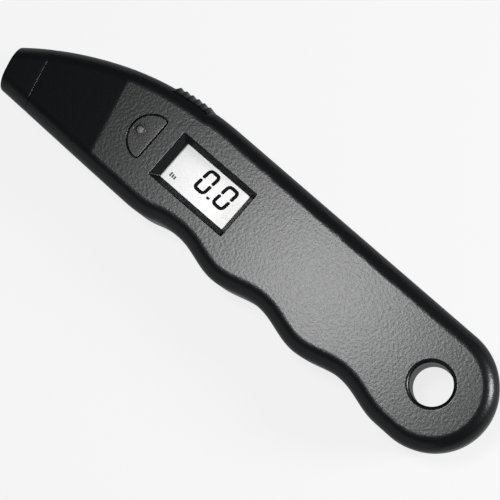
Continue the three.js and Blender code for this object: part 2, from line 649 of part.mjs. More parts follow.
function crossHeadScrew(x, y, { head, headZ, headTop, shank, tipZ }) {
  const profile = [[0, headZ], [head * 0.8, headZ], [head, headZ + 0.4], [head, headTop],
    [shank, headTop], [shank, tipZ - 1], [0, tipZ]];
  const long = head * 0.62;
  const narrow = 0.28;
  const barX = block(x - long, x + long, y - narrow, y + narrow, headZ - 1, headZ + 0.7);
  const barY = block(x - narrow, x + narrow, y - long, y + long, headZ - 1, headZ + 0.7);
  return cut(turned(profile, x, y, 16), barX, barY);
}

// ================================================================ assembly

addPart('front_shell', frontShell(), ABS);
addPart('back_shell', backShell(), ABS);

addPart('nozzle_tip', nozzleTip(), ABS);
addPart('chuck_body', nozzleTurned(CHUCK_PROFILE), BRASS);
addPart('chuck_seal', nozzleTurned(SEAL_PROFILE), RUBBER);
addPart('valve_pin', nozzleTurned(PIN_PROFILE, 16), BRASS);
addPart('air_tube', nozzleTurned(TUBE_PROFILE, 20), { color: 0xd9d6cf, roughness: 0.5 });
addPart('pressure_sensor', pressureSensor(), { color: 0xc9c9c4, roughness: 0.4 });

addPart('tread_slider', treadSlider(), ABS);
addPart('tread_probe', treadProbe(), STEEL);
addPart('probe_carrier', probeCarrier(), WHITE_PLASTIC);
addPart('probe_guide', probeGuide(), WHITE_PLASTIC);
addPart('slider_spring', detentSpring(), STEEL);

addPart('circuit_board', circuitBoard(), { color: 0x1e5a38, roughness: 0.55 });
const chip = slab(CHIP, CHIP.bottomZ, BOARD_Z - PART_CLEARANCE);
addPart('controller_chip', chip, { color: 0x141414, roughness: 0.6 });
addPart('lcd_window', roundPanel(0.3, LCD.z1 + PART_CLEARANCE, THICKNESS - WALL - 0.1), CLEAR_ACRYLIC);
addPart('lcd_glass', roundPanel(0, LCD.z0, LCD.z1), { color: 0xd8dad4, roughness: 0.2 });
addPart('display_frame', displayFrame(), ABS);
addPart('zebra_strip_upper', zebraStrip(ZEBRA.upper), ZEBRA_RUBBER);
addPart('zebra_strip_lower', zebraStrip(ZEBRA.lower), ZEBRA_RUBBER);
addPart('light_guide', slab(LIGHT_GUIDE, PANEL_FOOT, PANEL_SEAT), { color: 0xf4f4f0, roughness: 0.4 });
addPart('backlight_led', slab(LED, PANEL_FOOT, LED.topZ), { color: 0xf1e9b0, roughness: 0.4 });
addPart('light_button', lightButton(), ABS);
addPart('switch_body', switchBody(), { color: 0x2a2a2c, roughness: 0.5 });
const plunger = post(SWITCH.x, SWITCH.y, PLUNGER.radius, PLUNGER.bottomZ, PLUNGER.topZ, 16);
addPart('switch_plunger', plunger, { color: 0xc9b79a, roughness: 0.5 });

addPart('battery_cover', batteryCover(), ABS);
addPart('coin_cell', coinCell(), STEEL);
addPart('contact_minus', contactMinus(), STEEL);
addPart('contact_plus', contactPlus(), STEEL);
addPart('lead_plus', lead(PLUS_ROUTE), { color: 0xa8231c, roughness: 0.5 });
addPart('lead_minus', lead(MINUS_ROUTE), { color: 0x151515, roughness: 0.5 });

CASE_SCREWS.forEach(([x, y], i) => {
  addPart(`case_screw_${i + 1}`, crossHeadScrew(x, y, CASE_SCREW), STEEL);
});
BOARD_SCREWS.forEach(([x, y], i) => {
  addPart(`board_screw_${i + 1}`, crossHeadScrew(x, y, BOARD_SCREW), STEEL);
});

const footprint = new THREE.Box3().setFromObject(group);
const middle = footprint.getCenter(new THREE.Vector3());
group.position.set(-middle.x, -middle.y, 0);
group.updateMatrixWorld(true);

export default group;
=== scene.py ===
# Digital tyre gauge: the visible surfaces, materials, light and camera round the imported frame.
# Shapes are worked out in millimetres in the part's drawing frame, where the hanging hole's axis is
# x = 0, y = 0 and the back face is z = 0, and `place` turns them into metres in the row frame.

import functools
import json
import math

import bmesh
import bpy
from mathutils import Matrix, Vector


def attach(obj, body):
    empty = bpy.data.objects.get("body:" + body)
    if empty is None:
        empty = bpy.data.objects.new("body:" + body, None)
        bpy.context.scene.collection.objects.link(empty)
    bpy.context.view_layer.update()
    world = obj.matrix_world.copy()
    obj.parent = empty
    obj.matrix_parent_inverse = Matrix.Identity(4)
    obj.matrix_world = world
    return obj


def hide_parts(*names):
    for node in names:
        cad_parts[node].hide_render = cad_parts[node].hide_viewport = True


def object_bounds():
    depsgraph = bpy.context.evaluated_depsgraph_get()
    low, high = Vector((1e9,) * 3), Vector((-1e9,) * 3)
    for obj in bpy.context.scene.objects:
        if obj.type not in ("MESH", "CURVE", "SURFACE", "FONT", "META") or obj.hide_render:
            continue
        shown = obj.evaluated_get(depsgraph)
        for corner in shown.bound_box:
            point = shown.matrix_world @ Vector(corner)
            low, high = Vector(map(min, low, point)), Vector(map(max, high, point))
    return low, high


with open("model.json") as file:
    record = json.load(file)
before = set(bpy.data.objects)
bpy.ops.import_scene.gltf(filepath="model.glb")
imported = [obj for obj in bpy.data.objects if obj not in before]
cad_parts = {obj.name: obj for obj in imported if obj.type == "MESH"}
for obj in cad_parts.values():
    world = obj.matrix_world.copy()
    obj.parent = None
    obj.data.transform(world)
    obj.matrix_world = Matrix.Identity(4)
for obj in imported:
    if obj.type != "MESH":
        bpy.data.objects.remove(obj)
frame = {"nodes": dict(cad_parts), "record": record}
CAD_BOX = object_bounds()

# ================================================================ driving dimensions, millimetres

THICKNESS = 20.0
SPLIT_Z = THICKNESS / 2
EDGE_ROUND = 4.45
WALL = 2.0
SEAM_GAP = 0.12
SEAM_ROUND = 0.18

TAIL_CENTRE = (0.4, -0.1)
TAIL_RADIUS = 16.9
TOP_EDGE_Y = 17.24
GROOVE_PITCH = 28.35
GROOVE_DEPTH = 2.66
GROOVE_CREST_Y = -16.95
FIRST_CREST_X = -4.8
GROOVES_END_X = FIRST_CREST_X - 2.5 * GROOVE_PITCH
CHIN_BLEND = ((-85.2, -14.29), (-82.8, -16.6), (-92.5, -16.64))
NOSE_TOP_START = (-154, -10.1)
NOSE_TOP = ((-144.5, -3.15), (-135.5, 3.4), (-124.3, 8.9))
TRACK_LANDING = ((-90.3, 17.0), (-89.2, 17.1), (-83, TOP_EDGE_Y))
NOSE_BOTTOM = [(-138, -16.0), (-154, -16.0)]
OUTLINE_SPACING = 0.55
OUTLINE_BEYOND_CUT = 1.7

NOZZLE_TILT = math.radians(14)
NOZZLE_MOUTH = Vector((-143.5, -9.8, 8.9))
NOZZLE_OUT = Vector((-math.cos(NOZZLE_TILT), -math.sin(NOZZLE_TILT), 0))
NOZZLE_ACROSS = Vector((-NOZZLE_OUT.y, NOZZLE_OUT.x, 0))
TIP_LENGTH = 10.3
RAMP_LENGTH = 33.9
RAMP_SLOPE = 5.5 / RAMP_LENGTH
RAMP_SOFTNESS = 0.5
SEAM_OUT = -TIP_LENGTH - SEAM_GAP / 2
CHUCK_ROOM_RADIUS = 5.9

# The tip: how its sides draw in at the end as (width, length), and the collar next to the seam.
TIP_END = {"upper": (0.5, 0.5), "lower": (0.7, 0.8)}
TIP_RIM = 0.3
COLLAR_DROP = 0.04
COLLAR_LENGTH = 1.1
COLLAR_STEP = 0.12

HOLE_RADIUS = 5.6
HOLE_RIM = 1.1

# The thumb slider: the circle it runs on, its place and travel, its stem, peg and slot, and its ribs.
TRACK_CENTRE = (-87.96, -63.79)
TRACK_RADIUS = 80.2
TRACK_START = math.radians(2.02)
TRACK_END = math.radians(18.1)
SLIDER_MIDDLE = math.radians(6.27)
SLIDER_HALF_ANGLE = math.radians(4.1)
SLIDER_TRAVEL = math.radians(8.6)
STEM_HALF = 2.2
PEG_HALF = 1.2
SLOT_HALF = 2.5
SLOT_Z = (8.5, 11.5)
SADDLE_HALF_HEIGHT = 8.6
SADDLE_BASE = 0.25
SADDLE_CLEARANCE = 0.1
SADDLE_THINNEST = 0.15
RIBS = 6
RIB_HEIGHT = 0.58
STATIONS_PER_RIB = 12

# The probe: half its width, its heights above the back, and the slot it runs in through the tip.
PROBE_HALF = 1.6
PROBE_Z = (2.35, 3.25)
PROBE_END_OUT = -0.4
PROBE_LINES = 12
PROBE_LINE_HALF = 0.07
PROBE_SLOT = (-1.9, 1.9, 2.05, 3.55)

# The display's opening as (x0, x1, y0, y1), and how far its left, right, low and high walls spread.
DISPLAY = (-89.74, -67.72, -5.26, 6.02)
BEZEL_SPREAD = (2.2, 1.45, 1.5, 1.6)
BUTTON_GAP = 0.22
BUTTON = {"x": -97.65, "y": 0.5, "radius": 6.55, "flat_x": -97.12, "corner": 1.1}
STEM_OFFSET = 3.2
LAMP = (-101.67, 0.53)
LAMP_LEAN = 0.055
LAMP_CAP = {"x0": 1.9, "x1": 3.5, "half": 0.28, "corner": 0.25}

# Behind the opening: a panel and a window as (x0, x1, y0, y1, z0, z1), and the marks on the panel.
PANEL_BOX = (-93, -65.4, -7.9, 8.7, 15.2, 17.15)
WINDOW_BOX = (-93.3, -65.1, -8.2, 9.0, 17.3, 17.9)
INK_Z = (17.16, 17.19)
DIGIT = {"height": 7.1, "width": 4.1, "stroke": 0.96, "corner": 0.9, "gap": 0.38}
DIGIT_SLANT = math.tan(math.radians(6.3))
DIGIT_CENTRES = (-79.17, -72.62)
DIGIT_MIDDLE_Y = 1.62
POINT_BOX = (-76.7, -75.7, -1.78, -1.1)
UNIT_BARS = 3
UNIT_BAR = {"x": -88.25, "pitch": 0.72, "width": 0.46, "foot_y": -3.6, "head_y": -2.35, "step": 0.14}

# The coin cell's axis, with the round seat, the cover's lugs and its coin slot.
CELL = (-33.4, 0.2)
CELL_SEAT_RADIUS = 13.6
COVER_LUGS = 3
LUG_TURN = math.radians(360 / COVER_LUGS)
LUG_NOTCH_ANGLE = math.radians(50)
COIN_SLOT_HALF = (6.5, 0.9)

CASE_SCREWS = [(-121.5, 4.2), (-113, -11.2), (-58, 11.7), (-60.5, -11.4), (-14, 0)]
CROSS_ARM = 1.3
CROSS_HALF = 0.27
BOSS_RADIUS = 3.3
HOLE_BOSS_RADIUS = 7.9
BOSS_GAP = 0.12
FRONT_BOSS_TOP_Z = THICKNESS - 1.6

# Finish, light and camera. A lamp's level is the radiance of its face, and FLOOR_HALF is in metres.
BLACK_PLASTIC = (0.0032, 0.0038, 0.0046)
# The strength of a painted glow that makes the display's face look brighter.
LCD_PAINTED_GLOW = 0.2
WINDOW_MIRROR = 0.017
FLOOR_HALF = 2.0
FLOOR_COLOUR = (0.1, 0.1, 0.1)
FLOOR_GLOW = 0.81
FLOOR_IN_GLOSS = 0.35
WORLD_LEVEL = 0.05
LAMPS = {
    "key": {"location": (-112, 8, 520), "aim": (-60, 0, 10), "size": 105, "level": 52.0},
    "tail_lamp": {"location": (303, 263, 204), "aim": (0, 0, 16), "size": 160, "level": 38.0},
    "card": {"location": (-60, -320, 130), "aim": (-60, 0, 60), "size": (700, 240), "level": 0.4},
}
CAMERA_AT = Vector((28.88, -6.92, 462.8))
CAMERA_AIM = Vector((-58.0, -4.46, 20))
CAMERA_ROLL = math.radians(41)
CAMERA_LENS = 125.28
CAMERA_SENSOR = 36

# Mesh work. WELD_DISTANCE and SLIVER_LENGTH are in metres, and the sharp angles are in degrees.
MM = 0.001
AXIS_RADIUS = 0.001
LEAST_CORNER = 0.02
CUT_PAST = 1
EDGE_SHARE = 0.3
WELD_DISTANCE = 1e-7
SLIVER_LENGTH = 2e-6
FLAT_ANGLE = math.radians(0.02)
SHARP_ANGLE = 32
RIB_SHARP_ANGLE = 48

# The frame's own tail end and upper edge, which tie the drawing to the row frame.
CAD_TAIL_END_X = 17.35
CAD_TOP_EDGE_Y = 17.3
ORIGIN = Vector((CAD_BOX[1].x - CAD_TAIL_END_X * MM, CAD_BOX[1].y - CAD_TOP_EDGE_Y * MM, 0))


def place(point):
    """A point in drawing millimetres as metres in the row frame."""
    return ORIGIN + Vector(point) * MM


# ================================================================ mesh helpers

def make_mesh(name, points, faces):
    mesh = bpy.data.meshes.new(name)
    mesh.from_pydata([place(p) for p in points], [], faces)
    bm = bmesh.new()
    bm.from_mesh(mesh)
    bmesh.ops.remove_doubles(bm, verts=bm.verts, dist=WELD_DISTANCE)
    bmesh.ops.recalc_face_normals(bm, faces=bm.faces)
    if bm.calc_volume(signed=True) < 0:
        bmesh.ops.reverse_faces(bm, faces=bm.faces)
    bm.to_mesh(mesh)
    bm.free()
    obj = bpy.data.objects.new(name, mesh)
    bpy.context.scene.collection.objects.link(obj)
    return obj


def stack(name, rings, joined=False):
    """A closed solid through loops of equal length. Its ends are capped, or the last loop joins the first."""
    count = len(rings[0])
    points = [p for ring in rings for p in ring]
    faces = []
    for r in range(len(rings) if joined else len(rings) - 1):
        a, b = r * count, (r + 1) % len(rings) * count
        for i in range(count):
            j = (i + 1) % count
            faces.append((a + i, a + j, b + j, b + i))
    if not joined:
        faces.append(tuple(range(count - 1, -1, -1)))
        faces.append(tuple(range(len(points) - count, len(points))))
    return make_mesh(name, points, faces)


def boolean(obj, operation, *cutters):
    """Joins or cuts with other solids, which are used up."""
    for cutter in cutters:
        modifier = obj.modifiers.new("cut", "BOOLEAN")
        modifier.operation = operation
        modifier.solver = "MANIFOLD"
        modifier.object = cutter
        bake(obj)
        bpy.data.objects.remove(cutter)
    return obj


def bake(obj):
    """Applies the modifiers of an object to its mesh."""
    graph = bpy.context.evaluated_depsgraph_get()
    mesh = bpy.data.meshes.new_from_object(obj.evaluated_get(graph))
    mesh.name = obj.name
    old = obj.data
    obj.modifiers.clear()
    obj.data = mesh
    bpy.data.meshes.remove(old)


def finish_surface(obj, sharp_angle=SHARP_ANGLE):
    """Smooth shading with sharp edges kept, so that flat faces stay flat next to round ones."""
    mesh = obj.data
    bm = bmesh.new()
    bm.from_mesh(mesh)
    bmesh.ops.dissolve_degenerate(bm, dist=SLIVER_LENGTH, edges=bm.edges)
    bmesh.ops.dissolve_limit(bm, angle_limit=FLAT_ANGLE, verts=bm.verts, edges=bm.edges)
    bmesh.ops.delete(bm, geom=[v for v in bm.verts if not v.link_faces], context="VERTS")
    for face in bm.faces:
        face.smooth = True
    limit = math.radians(sharp_angle)
    for edge in bm.edges:
        edge.smooth = edge.is_manifold and edge.calc_face_angle(0) < limit
    bm.to_mesh(mesh)
    bm.free()
    modifier = obj.modifiers.new("weighted", "WEIGHTED_NORMAL")
    modifier.keep_sharp = True
    modifier.mode = "FACE_AREA"
    modifier.weight = 100
    bake(obj)
    return obj


def circle(x, y, radius, z, count=48, start=0.0):
    turns = [start + 2 * math.pi / count * i for i in range(count)]
    return [(x + radius * math.cos(a), y + radius * math.sin(a), z) for a in turns]


def lathe(name, x, y, profile, count=48):
    """A solid of revolution on a vertical axis. The profile lists (radius, z) from one end to the other."""
    rings = [circle(x, y, max(r, AXIS_RADIUS), z, count) for r, z in profile]
    return stack(name, rings)


def nozzle_point(across, z, out):
    """A point by its distances across the nozzle, above the back and out of the mouth."""
    return Vector((NOZZLE_MOUTH.x, NOZZLE_MOUTH.y, z)) + NOZZLE_ACROSS * across + NOZZLE_OUT * out


def nozzle_lathe(name, profile, count=48, joined=False):
    """A solid of revolution on the nozzle's axis. The profile lists (radius, distance out of the mouth)."""
    rings = []
    for radius, out in profile:
        section = circle(0, NOZZLE_MOUTH.z, max(radius, AXIS_RADIUS), 0, count)
        rings.append([nozzle_point(across, z, out) for across, z, _ in section])
    return stack(name, rings, joined)


def box_piece(name, x0, x1, y0, y1, z0, z1, corner=0.0, edge=0.0):
    """A block with rounded upright corners and softened top and bottom edges."""
    part = edge * EDGE_SHARE
    levels = [(edge, z0), (part, z0 + part), (0, z0 + edge), (0, z1 - edge), (part, z1 - part), (edge, z1)]
    if edge == 0:
        levels = [(0, z0), (0, z1)]
    loops = []
    for e, z in levels:
        loops.append(rounded_rectangle(x0 + e, x1 - e, y0 + e, y1 - e, max(corner - e, LEAST_CORNER), z))
    return stack(name, loops)


def rounded_rectangle(x0, x1, y0, y1, radius, z, steps=5):
    points = []
    for cx, cy, start in ((x1, y1, 0), (x0, y1, 90), (x0, y0, 180), (x1, y0, 270)):
        sx = radius if cx == x0 else -radius
        sy = radius if cy == y0 else -radius
        for i in range(steps + 1):
            a = math.radians(start + 90 * i / steps)
            points.append((cx + sx + radius * math.cos(a), cy + sy + radius * math.sin(a), z))
    return points


# ================================================================ casing outline

def bezier(p0, p1, p2, p3, count):
    points = []
    for i in range(count + 1):
        t = i / count
        u = 1 - t
        x = u ** 3 * p0[0] + 3 * u * u * t * p1[0] + 3 * u * t * t * p2[0] + t ** 3 * p3[0]
        y = u ** 3 * p0[1] + 3 * u * u * t * p1[1] + 3 * u * t * t * p2[1] + t ** 3 * p3[1]
        points.append((x, y))
    return points


def track_point(radius, angle):
    return (TRACK_CENTRE[0] - radius * math.sin(angle), TRACK_CENTRE[1] + radius * math.cos(angle))


def casing_outline():
    """The casing's edge from the nose along the slider's side, round the tail and back along the grooves."""
    foot = track_point(TRACK_RADIUS, TRACK_END)
    line = [NOSE_TOP_START] + bezier(*NOSE_TOP, foot, 60)
    track_steps = 40
    for i in range(1, track_steps + 1):
        line.append(track_point(TRACK_RADIUS, TRACK_END + (TRACK_START - TRACK_END) * i / track_steps))
    line += bezier(line[-1], *TRACK_LANDING, 16)[1:]
    line.append((TAIL_CENTRE[0], TAIL_CENTRE[1] + TAIL_RADIUS))
    tail_steps = 96
    for i in range(1, tail_steps + 1):
        a = math.pi / 2 - math.pi * i / tail_steps
        line.append((TAIL_CENTRE[0] + TAIL_RADIUS * math.cos(a), TAIL_CENTRE[1] + TAIL_RADIUS * math.sin(a)))
    groove_steps = 140
    for i in range(groove_steps + 1):
        x = FIRST_CREST_X + (GROOVES_END_X - FIRST_CREST_X) * i / groove_steps
        phase = 2 * math.pi * (x - FIRST_CREST_X) / GROOVE_PITCH
        line.append((x, GROOVE_CREST_Y + GROOVE_DEPTH * (1 - math.cos(phase)) / 2))
    line += bezier(line[-1], *CHIN_BLEND, 20)[1:]
    return resample(line + NOSE_BOTTOM, OUTLINE_SPACING)


def resample(line, spacing):
    """The same line through points at an even spacing."""
    points = [Vector((x, y)) for x, y in line]
    lengths = [0.0]
    for a, b in zip(points, points[1:]):
        lengths.append(lengths[-1] + (b - a).length)
    count = round(lengths[-1] / spacing)
    made, k = [], 0
    for i in range(count + 1):
        want = lengths[-1] * i / count
        while k < len(points) - 2 and lengths[k + 1] < want:
            k += 1
        span = lengths[k + 1] - lengths[k]
        made.append(points[k].lerp(points[k + 1], (want - lengths[k]) / span if span else 0))
    return made


def inward_normals(points):
    normals = []
    last = len(points) - 1
    for i in range(len(points)):
        along = points[min(i + 1, last)] - points[max(i - 1, 0)]
        normals.append(Vector((along.y, -along.x)).normalized())
    return normals


OUTLINE = casing_outline()
NORMALS = inward_normals(OUTLINE)


@functools.lru_cache(maxsize=None)
def moved_outline(inset):
    return [p + n * inset for p, n in zip(OUTLINE, NORMALS)]


def beyond_mouth(point):
    """Distance out of the nozzle's mouth, negative inside the casing."""
    return (point[0] - NOZZLE_MOUTH.x) * NOZZLE_OUT.x + (point[1] - NOZZLE_MOUTH.y) * NOZZLE_OUT.y


def outline_loop(inset, end):
    """The outline moved inwards, cut off square to the nozzle at `end` from the mouth."""
    moved = moved_outline(inset)
    kept = [i for i, p in enumerate(OUTLINE) if beyond_mouth(p) < end - OUTLINE_BEYOND_CUT]
    first, last = kept[0], kept[-1]
    loop = [crossing(moved, first, -1, end)]
    loop += moved[first:last + 1]
    loop.append(crossing(moved, last, 1, end))
    return loop


def crossing(points, index, step, end):
    """Where a line of points, followed from one of them, passes the distance `end` out of the mouth."""
    while beyond_mouth(points[index + step]) < end:
        index += step
    a, b = points[index], points[index + step]
    sa, sb = beyond_mouth(a), beyond_mouth(b)
    return a.lerp(b, (end - sa) / (sb - sa))


def ramp_fall(x, y):
    """How far the front has dropped below the flat face on the way to the tip."""
    past = beyond_mouth((x, y)) + RAMP_LENGTH
    if past <= -RAMP_SOFTNESS:
        return 0.0
    if past >= RAMP_SOFTNESS:
        return past * RAMP_SLOPE
    return (past + RAMP_SOFTNESS) ** 2 / (4 * RAMP_SOFTNESS) * RAMP_SLOPE


def rounding(radius, steps):
    """(inset, drop) pairs round a quarter circle, from the side wall to the flat face."""
    pairs = []
    for i in range(steps + 1):
        a = (math.pi / 2) * i / steps
        pairs.append((radius * (1 - math.cos(a)), radius * (1 - math.sin(a))))
    return pairs


def cut_along_bend(obj):
    """Adds edges across the mesh where the front bends down, so that the bend is crisp."""
    bm = bmesh.new()
    bm.from_mesh(obj.data)
    for offset in (-RAMP_SOFTNESS, 0.0, RAMP_SOFTNESS):
        centre = place(NOZZLE_MOUTH + NOZZLE_OUT * (offset - RAMP_LENGTH))
        geometry = bm.verts[:] + bm.edges[:] + bm.faces[:]
        bmesh.ops.bisect_plane(bm, geom=geometry, dist=1e-8, plane_co=centre, plane_no=NOZZLE_OUT)
    bm.to_mesh(obj.data)
    bm.free()


def lower_nose(obj, start_z):
    """Lowers the front towards the tip. `start_z` is the height above which points move."""
    for vertex in obj.data.vertices:
        local = (vertex.co - ORIGIN) / MM
        if local.z > start_z:
            vertex.co.z -= ramp_fall(local.x, local.y) * MM


def half_slab(name, front, inset=0.0, end=SEAM_OUT, steps=9):
    """Half of the casing as a closed solid: the front half above the parting plane, or the back half."""
    sign = 1 if front else -1
    outer_z = SPLIT_Z + sign * (THICKNESS / 2 - inset)
    parting_z = SPLIT_Z + sign * (SEAM_GAP / 2 if inset == 0 else -CUT_PAST)
    radius = EDGE_ROUND - inset
    levels = []
    if inset == 0:
        levels += [(i, parting_z + sign * d) for i, d in reversed(rounding(SEAM_ROUND, 2))]
    else:
        levels += [(inset, parting_z)]
    levels += [(inset + i, outer_z - sign * d) for i, d in rounding(radius, steps)]
    obj = stack(name, [[(p.x, p.y, z) for p in outline_loop(i, end)] for i, z in levels])
    if front:
        cut_along_bend(obj)
        lower_nose(obj, SPLIT_Z + CUT_PAST)
    return obj


def soften_end(obj, out, radius):
    """Rounds the sharp edge loop that lies in the plane square to the nozzle at `out` from the mouth."""
    centre = place(NOZZLE_MOUTH + NOZZLE_OUT * out)
    bm = bmesh.new()
    bm.from_mesh(obj.data)
    in_plane = {v for v in bm.verts if abs((v.co - centre).dot(NOZZLE_OUT)) < SLIVER_LENGTH}
    rim = [e for e in bm.edges if all(v in in_plane for v in e.verts)]
    edges = [e for e in rim if e.calc_face_angle(0) > math.radians(SHARP_ANGLE)]
    width = radius * MM
    bmesh.ops.bevel(bm, geom=edges, offset=width, segments=2, profile=0.5, affect="EDGES", clamp_overlap=True)
    bm.to_mesh(obj.data)
    bm.free()


# ================================================================ cutters

def hanging_hole():
    rim = [(HOLE_RADIUS + i, d) for i, d in rounding(HOLE_RIM, 6)]
    bottom = [(r, z) for r, z in reversed(rim)]
    top = [(r, THICKNESS - z) for r, z in rim]
    wide = HOLE_RADIUS + HOLE_RIM
    return lathe("hole_cutter", 0, 0, [(wide, -1)] + bottom + top + [(wide, THICKNESS + 1)], 96)


def display_opening():
    """Sloping walls that meet in mitred corners, with a small round where they reach the front face."""
    x0, x1, y0, y1 = DISPLAY
    left, right, low, high = BEZEL_SPREAD
    levels = ((-0.9, 16), (0, 18), (0.92, 19.84), (0.98, 19.93), (1.06, 19.985), (1.2, 20.02), (1.2, 21))
    rings = []
    for grow, z in levels:
        sides = (x0 - grow * left, x1 + grow * right, y0 - grow * low, y1 + grow * high)
        rings.append(rounded_rectangle(*sides, 0.2 + 0.1 * max(grow, 0), z, 3))
    return stack("display_cutter", rings)


def d_loop(grow, z, steps=48):
    """The button's outline: a circle cut off flat on one side, with rounded corners."""
    radius = BUTTON["radius"] + grow
    flat = BUTTON["flat_x"] + grow
    corner = max(BUTTON["corner"] + grow, 0.1)
    centre_x = flat - corner
    rise = math.sqrt((radius - corner) ** 2 - (centre_x - BUTTON["x"]) ** 2)
    turn = math.atan2(rise, centre_x - BUTTON["x"])
    points = []
    for i in range(steps + 1):
        a = turn + (2 * math.pi - 2 * turn) * i / steps
        points.append((BUTTON["x"] + radius * math.cos(a), BUTTON["y"] + radius * math.sin(a), z))
    corner_steps = 8
    for sign, start, end in ((-1, -turn, 0), (1, 0, turn)):
        for i in range(1, corner_steps):
            a = start + (end - start) * i / corner_steps
            centre_y = BUTTON["y"] + sign * rise
            points.append((centre_x + corner * math.cos(a), centre_y + corner * math.sin(a), z))
        if sign < 0:
            points.append((flat, BUTTON["y"] - rise, z))
            points.append((flat, BUTTON["y"] + rise, z))
    return points


def button_hole():
    """The button's outline with a gap all round, which opens a little at the front face."""
    levels = [(0, 16), (0, 19.9), (0.05, 19.97), (0.14, 20.02), (0.14, 21)]
    return stack("button_cutter", [d_loop(BUTTON_GAP + grow, z) for grow, z in levels])


def track_block(name, r0, r1, a0, a1, z0, z1, steps=24):
    """A block bent round the slider's track: two radii, two angles towards the nose, two heights."""
    rings = []
    for i in range(steps + 1):
        angle = a0 + (a1 - a0) * i / steps
        inner, outer = track_point(r0, angle), track_point(r1, angle)
        rings.append([(*inner, z0), (*outer, z0), (*outer, z1), (*inner, z1)])
    return stack(name, rings)


def slider_slot():
    side = SLOT_HALF / TRACK_RADIUS
    start, end = SLIDER_MIDDLE - side, SLIDER_MIDDLE + SLIDER_TRAVEL + side
    return track_block("slot_cutter", TRACK_RADIUS - 5, TRACK_RADIUS + 3, start, end, *SLOT_Z)


def chuck_room():
    return nozzle_lathe("chuck_cutter", [(CHUCK_ROOM_RADIUS, -20), (CHUCK_ROOM_RADIUS, 2)])


def nozzle_block(name, a0, a1, z0, z1, s0, s1, corner=0.0):
    """A bar in line with the nozzle: across, height above the back, distance out of the mouth."""
    section = rounded_rectangle(a0, a1, z0, z1, max(corner, LEAST_CORNER), 0, 3)
    return stack(name, [[nozzle_point(a, z, s) for a, z, _ in section] for s in (s0, s1)])


# ================================================================ casing pieces

def hollow_half(name, front):
    """Half of the casing with its walls, open at the parting plane and at the seam with the tip."""
    shell = half_slab(name, front)
    soften_end(shell, SEAM_OUT, SEAM_ROUND)
    hollow = half_slab("hollow", front, inset=WALL, end=SEAM_OUT + CUT_PAST, steps=4)
    return boolean(shell, "DIFFERENCE", hollow)


def boss(x, y, radius, low, high, count=24):
    return lathe("boss", x, y, [(radius, low), (radius, high)], count)


def front_shell():
    """The first screw has no boss here, because the nose is too low above it."""
    shell = hollow_half("casing_front", True)
    low = SPLIT_Z + BOSS_GAP
    bosses = [boss(0, 0, HOLE_BOSS_RADIUS, low, THICKNESS - WALL / 2, 48)]
    bosses += [boss(x, y, BOSS_RADIUS, low, FRONT_BOSS_TOP_Z) for x, y in CASE_SCREWS[1:]]
    shell = boolean(shell, "UNION", *bosses)
    cutters = [hanging_hole(), display_opening(), button_hole(), slider_slot(), chuck_room()]
    return finish_surface(boolean(shell, "DIFFERENCE", *cutters))


def back_shell():
    shell = hollow_half("casing_back", False)
    high = SPLIT_Z - BOSS_GAP
    bosses = [boss(0, 0, HOLE_BOSS_RADIUS, WALL / 2, high, 48)]
    bosses += [boss(x, y, BOSS_RADIUS, WALL / 2, high) for x, y in CASE_SCREWS]
    bosses.append(boss(*CELL, CELL_SEAT_RADIUS, WALL / 2, 6.5, 64))
    shell = boolean(shell, "UNION", *bosses)
    cutters = [hanging_hole(), slider_slot(), chuck_room(), *battery_well()]
    sunk = [(2.75, -1), (2.75, 0), (2.45, 0.25), (2.4, 0.5), (2.4, 2.2), (1.5, 2.2), (1.5, THICKNESS)]
    cutters += [lathe("screw_cutter", x, y, sunk, 32) for x, y in CASE_SCREWS]
    return finish_surface(boolean(shell, "DIFFERENCE", *cutters))


def battery_well():
    """The seat for the cover, with a finger's lead-in, and the room behind for the cell and the lugs."""
    seat = [(12.5, -1), (12.5, 0), (12.15, 0.3), (12.1, 1.8)]
    behind = [(11.2, 1.8), (11.2, 2.4), (12.35, 2.4), (12.35, 8)]
    cutters = [lathe("well_cutter", *CELL, seat + behind, 96)]
    for i in range(COVER_LUGS):
        angle = LUG_NOTCH_ANGLE + LUG_TURN * i
        cutters.append(cell_sector("notch_cutter", 10.5, 12.2, angle, math.radians(13.75), 1, 3))
    x, y = CELL
    cutters.append(box_piece("lead_cutter", x - 16, x - 8, -5, 7, 3.9, 8))
    return cutters


def cell_sector(name, r0, r1, angle, half_angle, z0, z1, steps=6):
    """Part of a ring round the cell's axis."""
    rings = []
    for i in range(steps + 1):
        a = angle - half_angle + 2 * half_angle * i / steps
        inner = (CELL[0] + r0 * math.cos(a), CELL[1] + r0 * math.sin(a))
        outer = (CELL[0] + r1 * math.cos(a), CELL[1] + r1 * math.sin(a))
        rings.append([(*inner, z0), (*outer, z0), (*outer, z1), (*inner, z1)])
    return stack(name, rings)


# ================================================================ nozzle tip

def tip_side(inset, out, lower):
    """How far across the nozzle the casing's moved outline lies at a distance out of the mouth."""
    moved = moved_outline(inset)
    step = 1 if lower else -1
    point = crossing(moved, len(moved) // 2, step, out)
    return (point.to_3d() - NOZZLE_MOUTH).dot(NOZZLE_ACROSS)


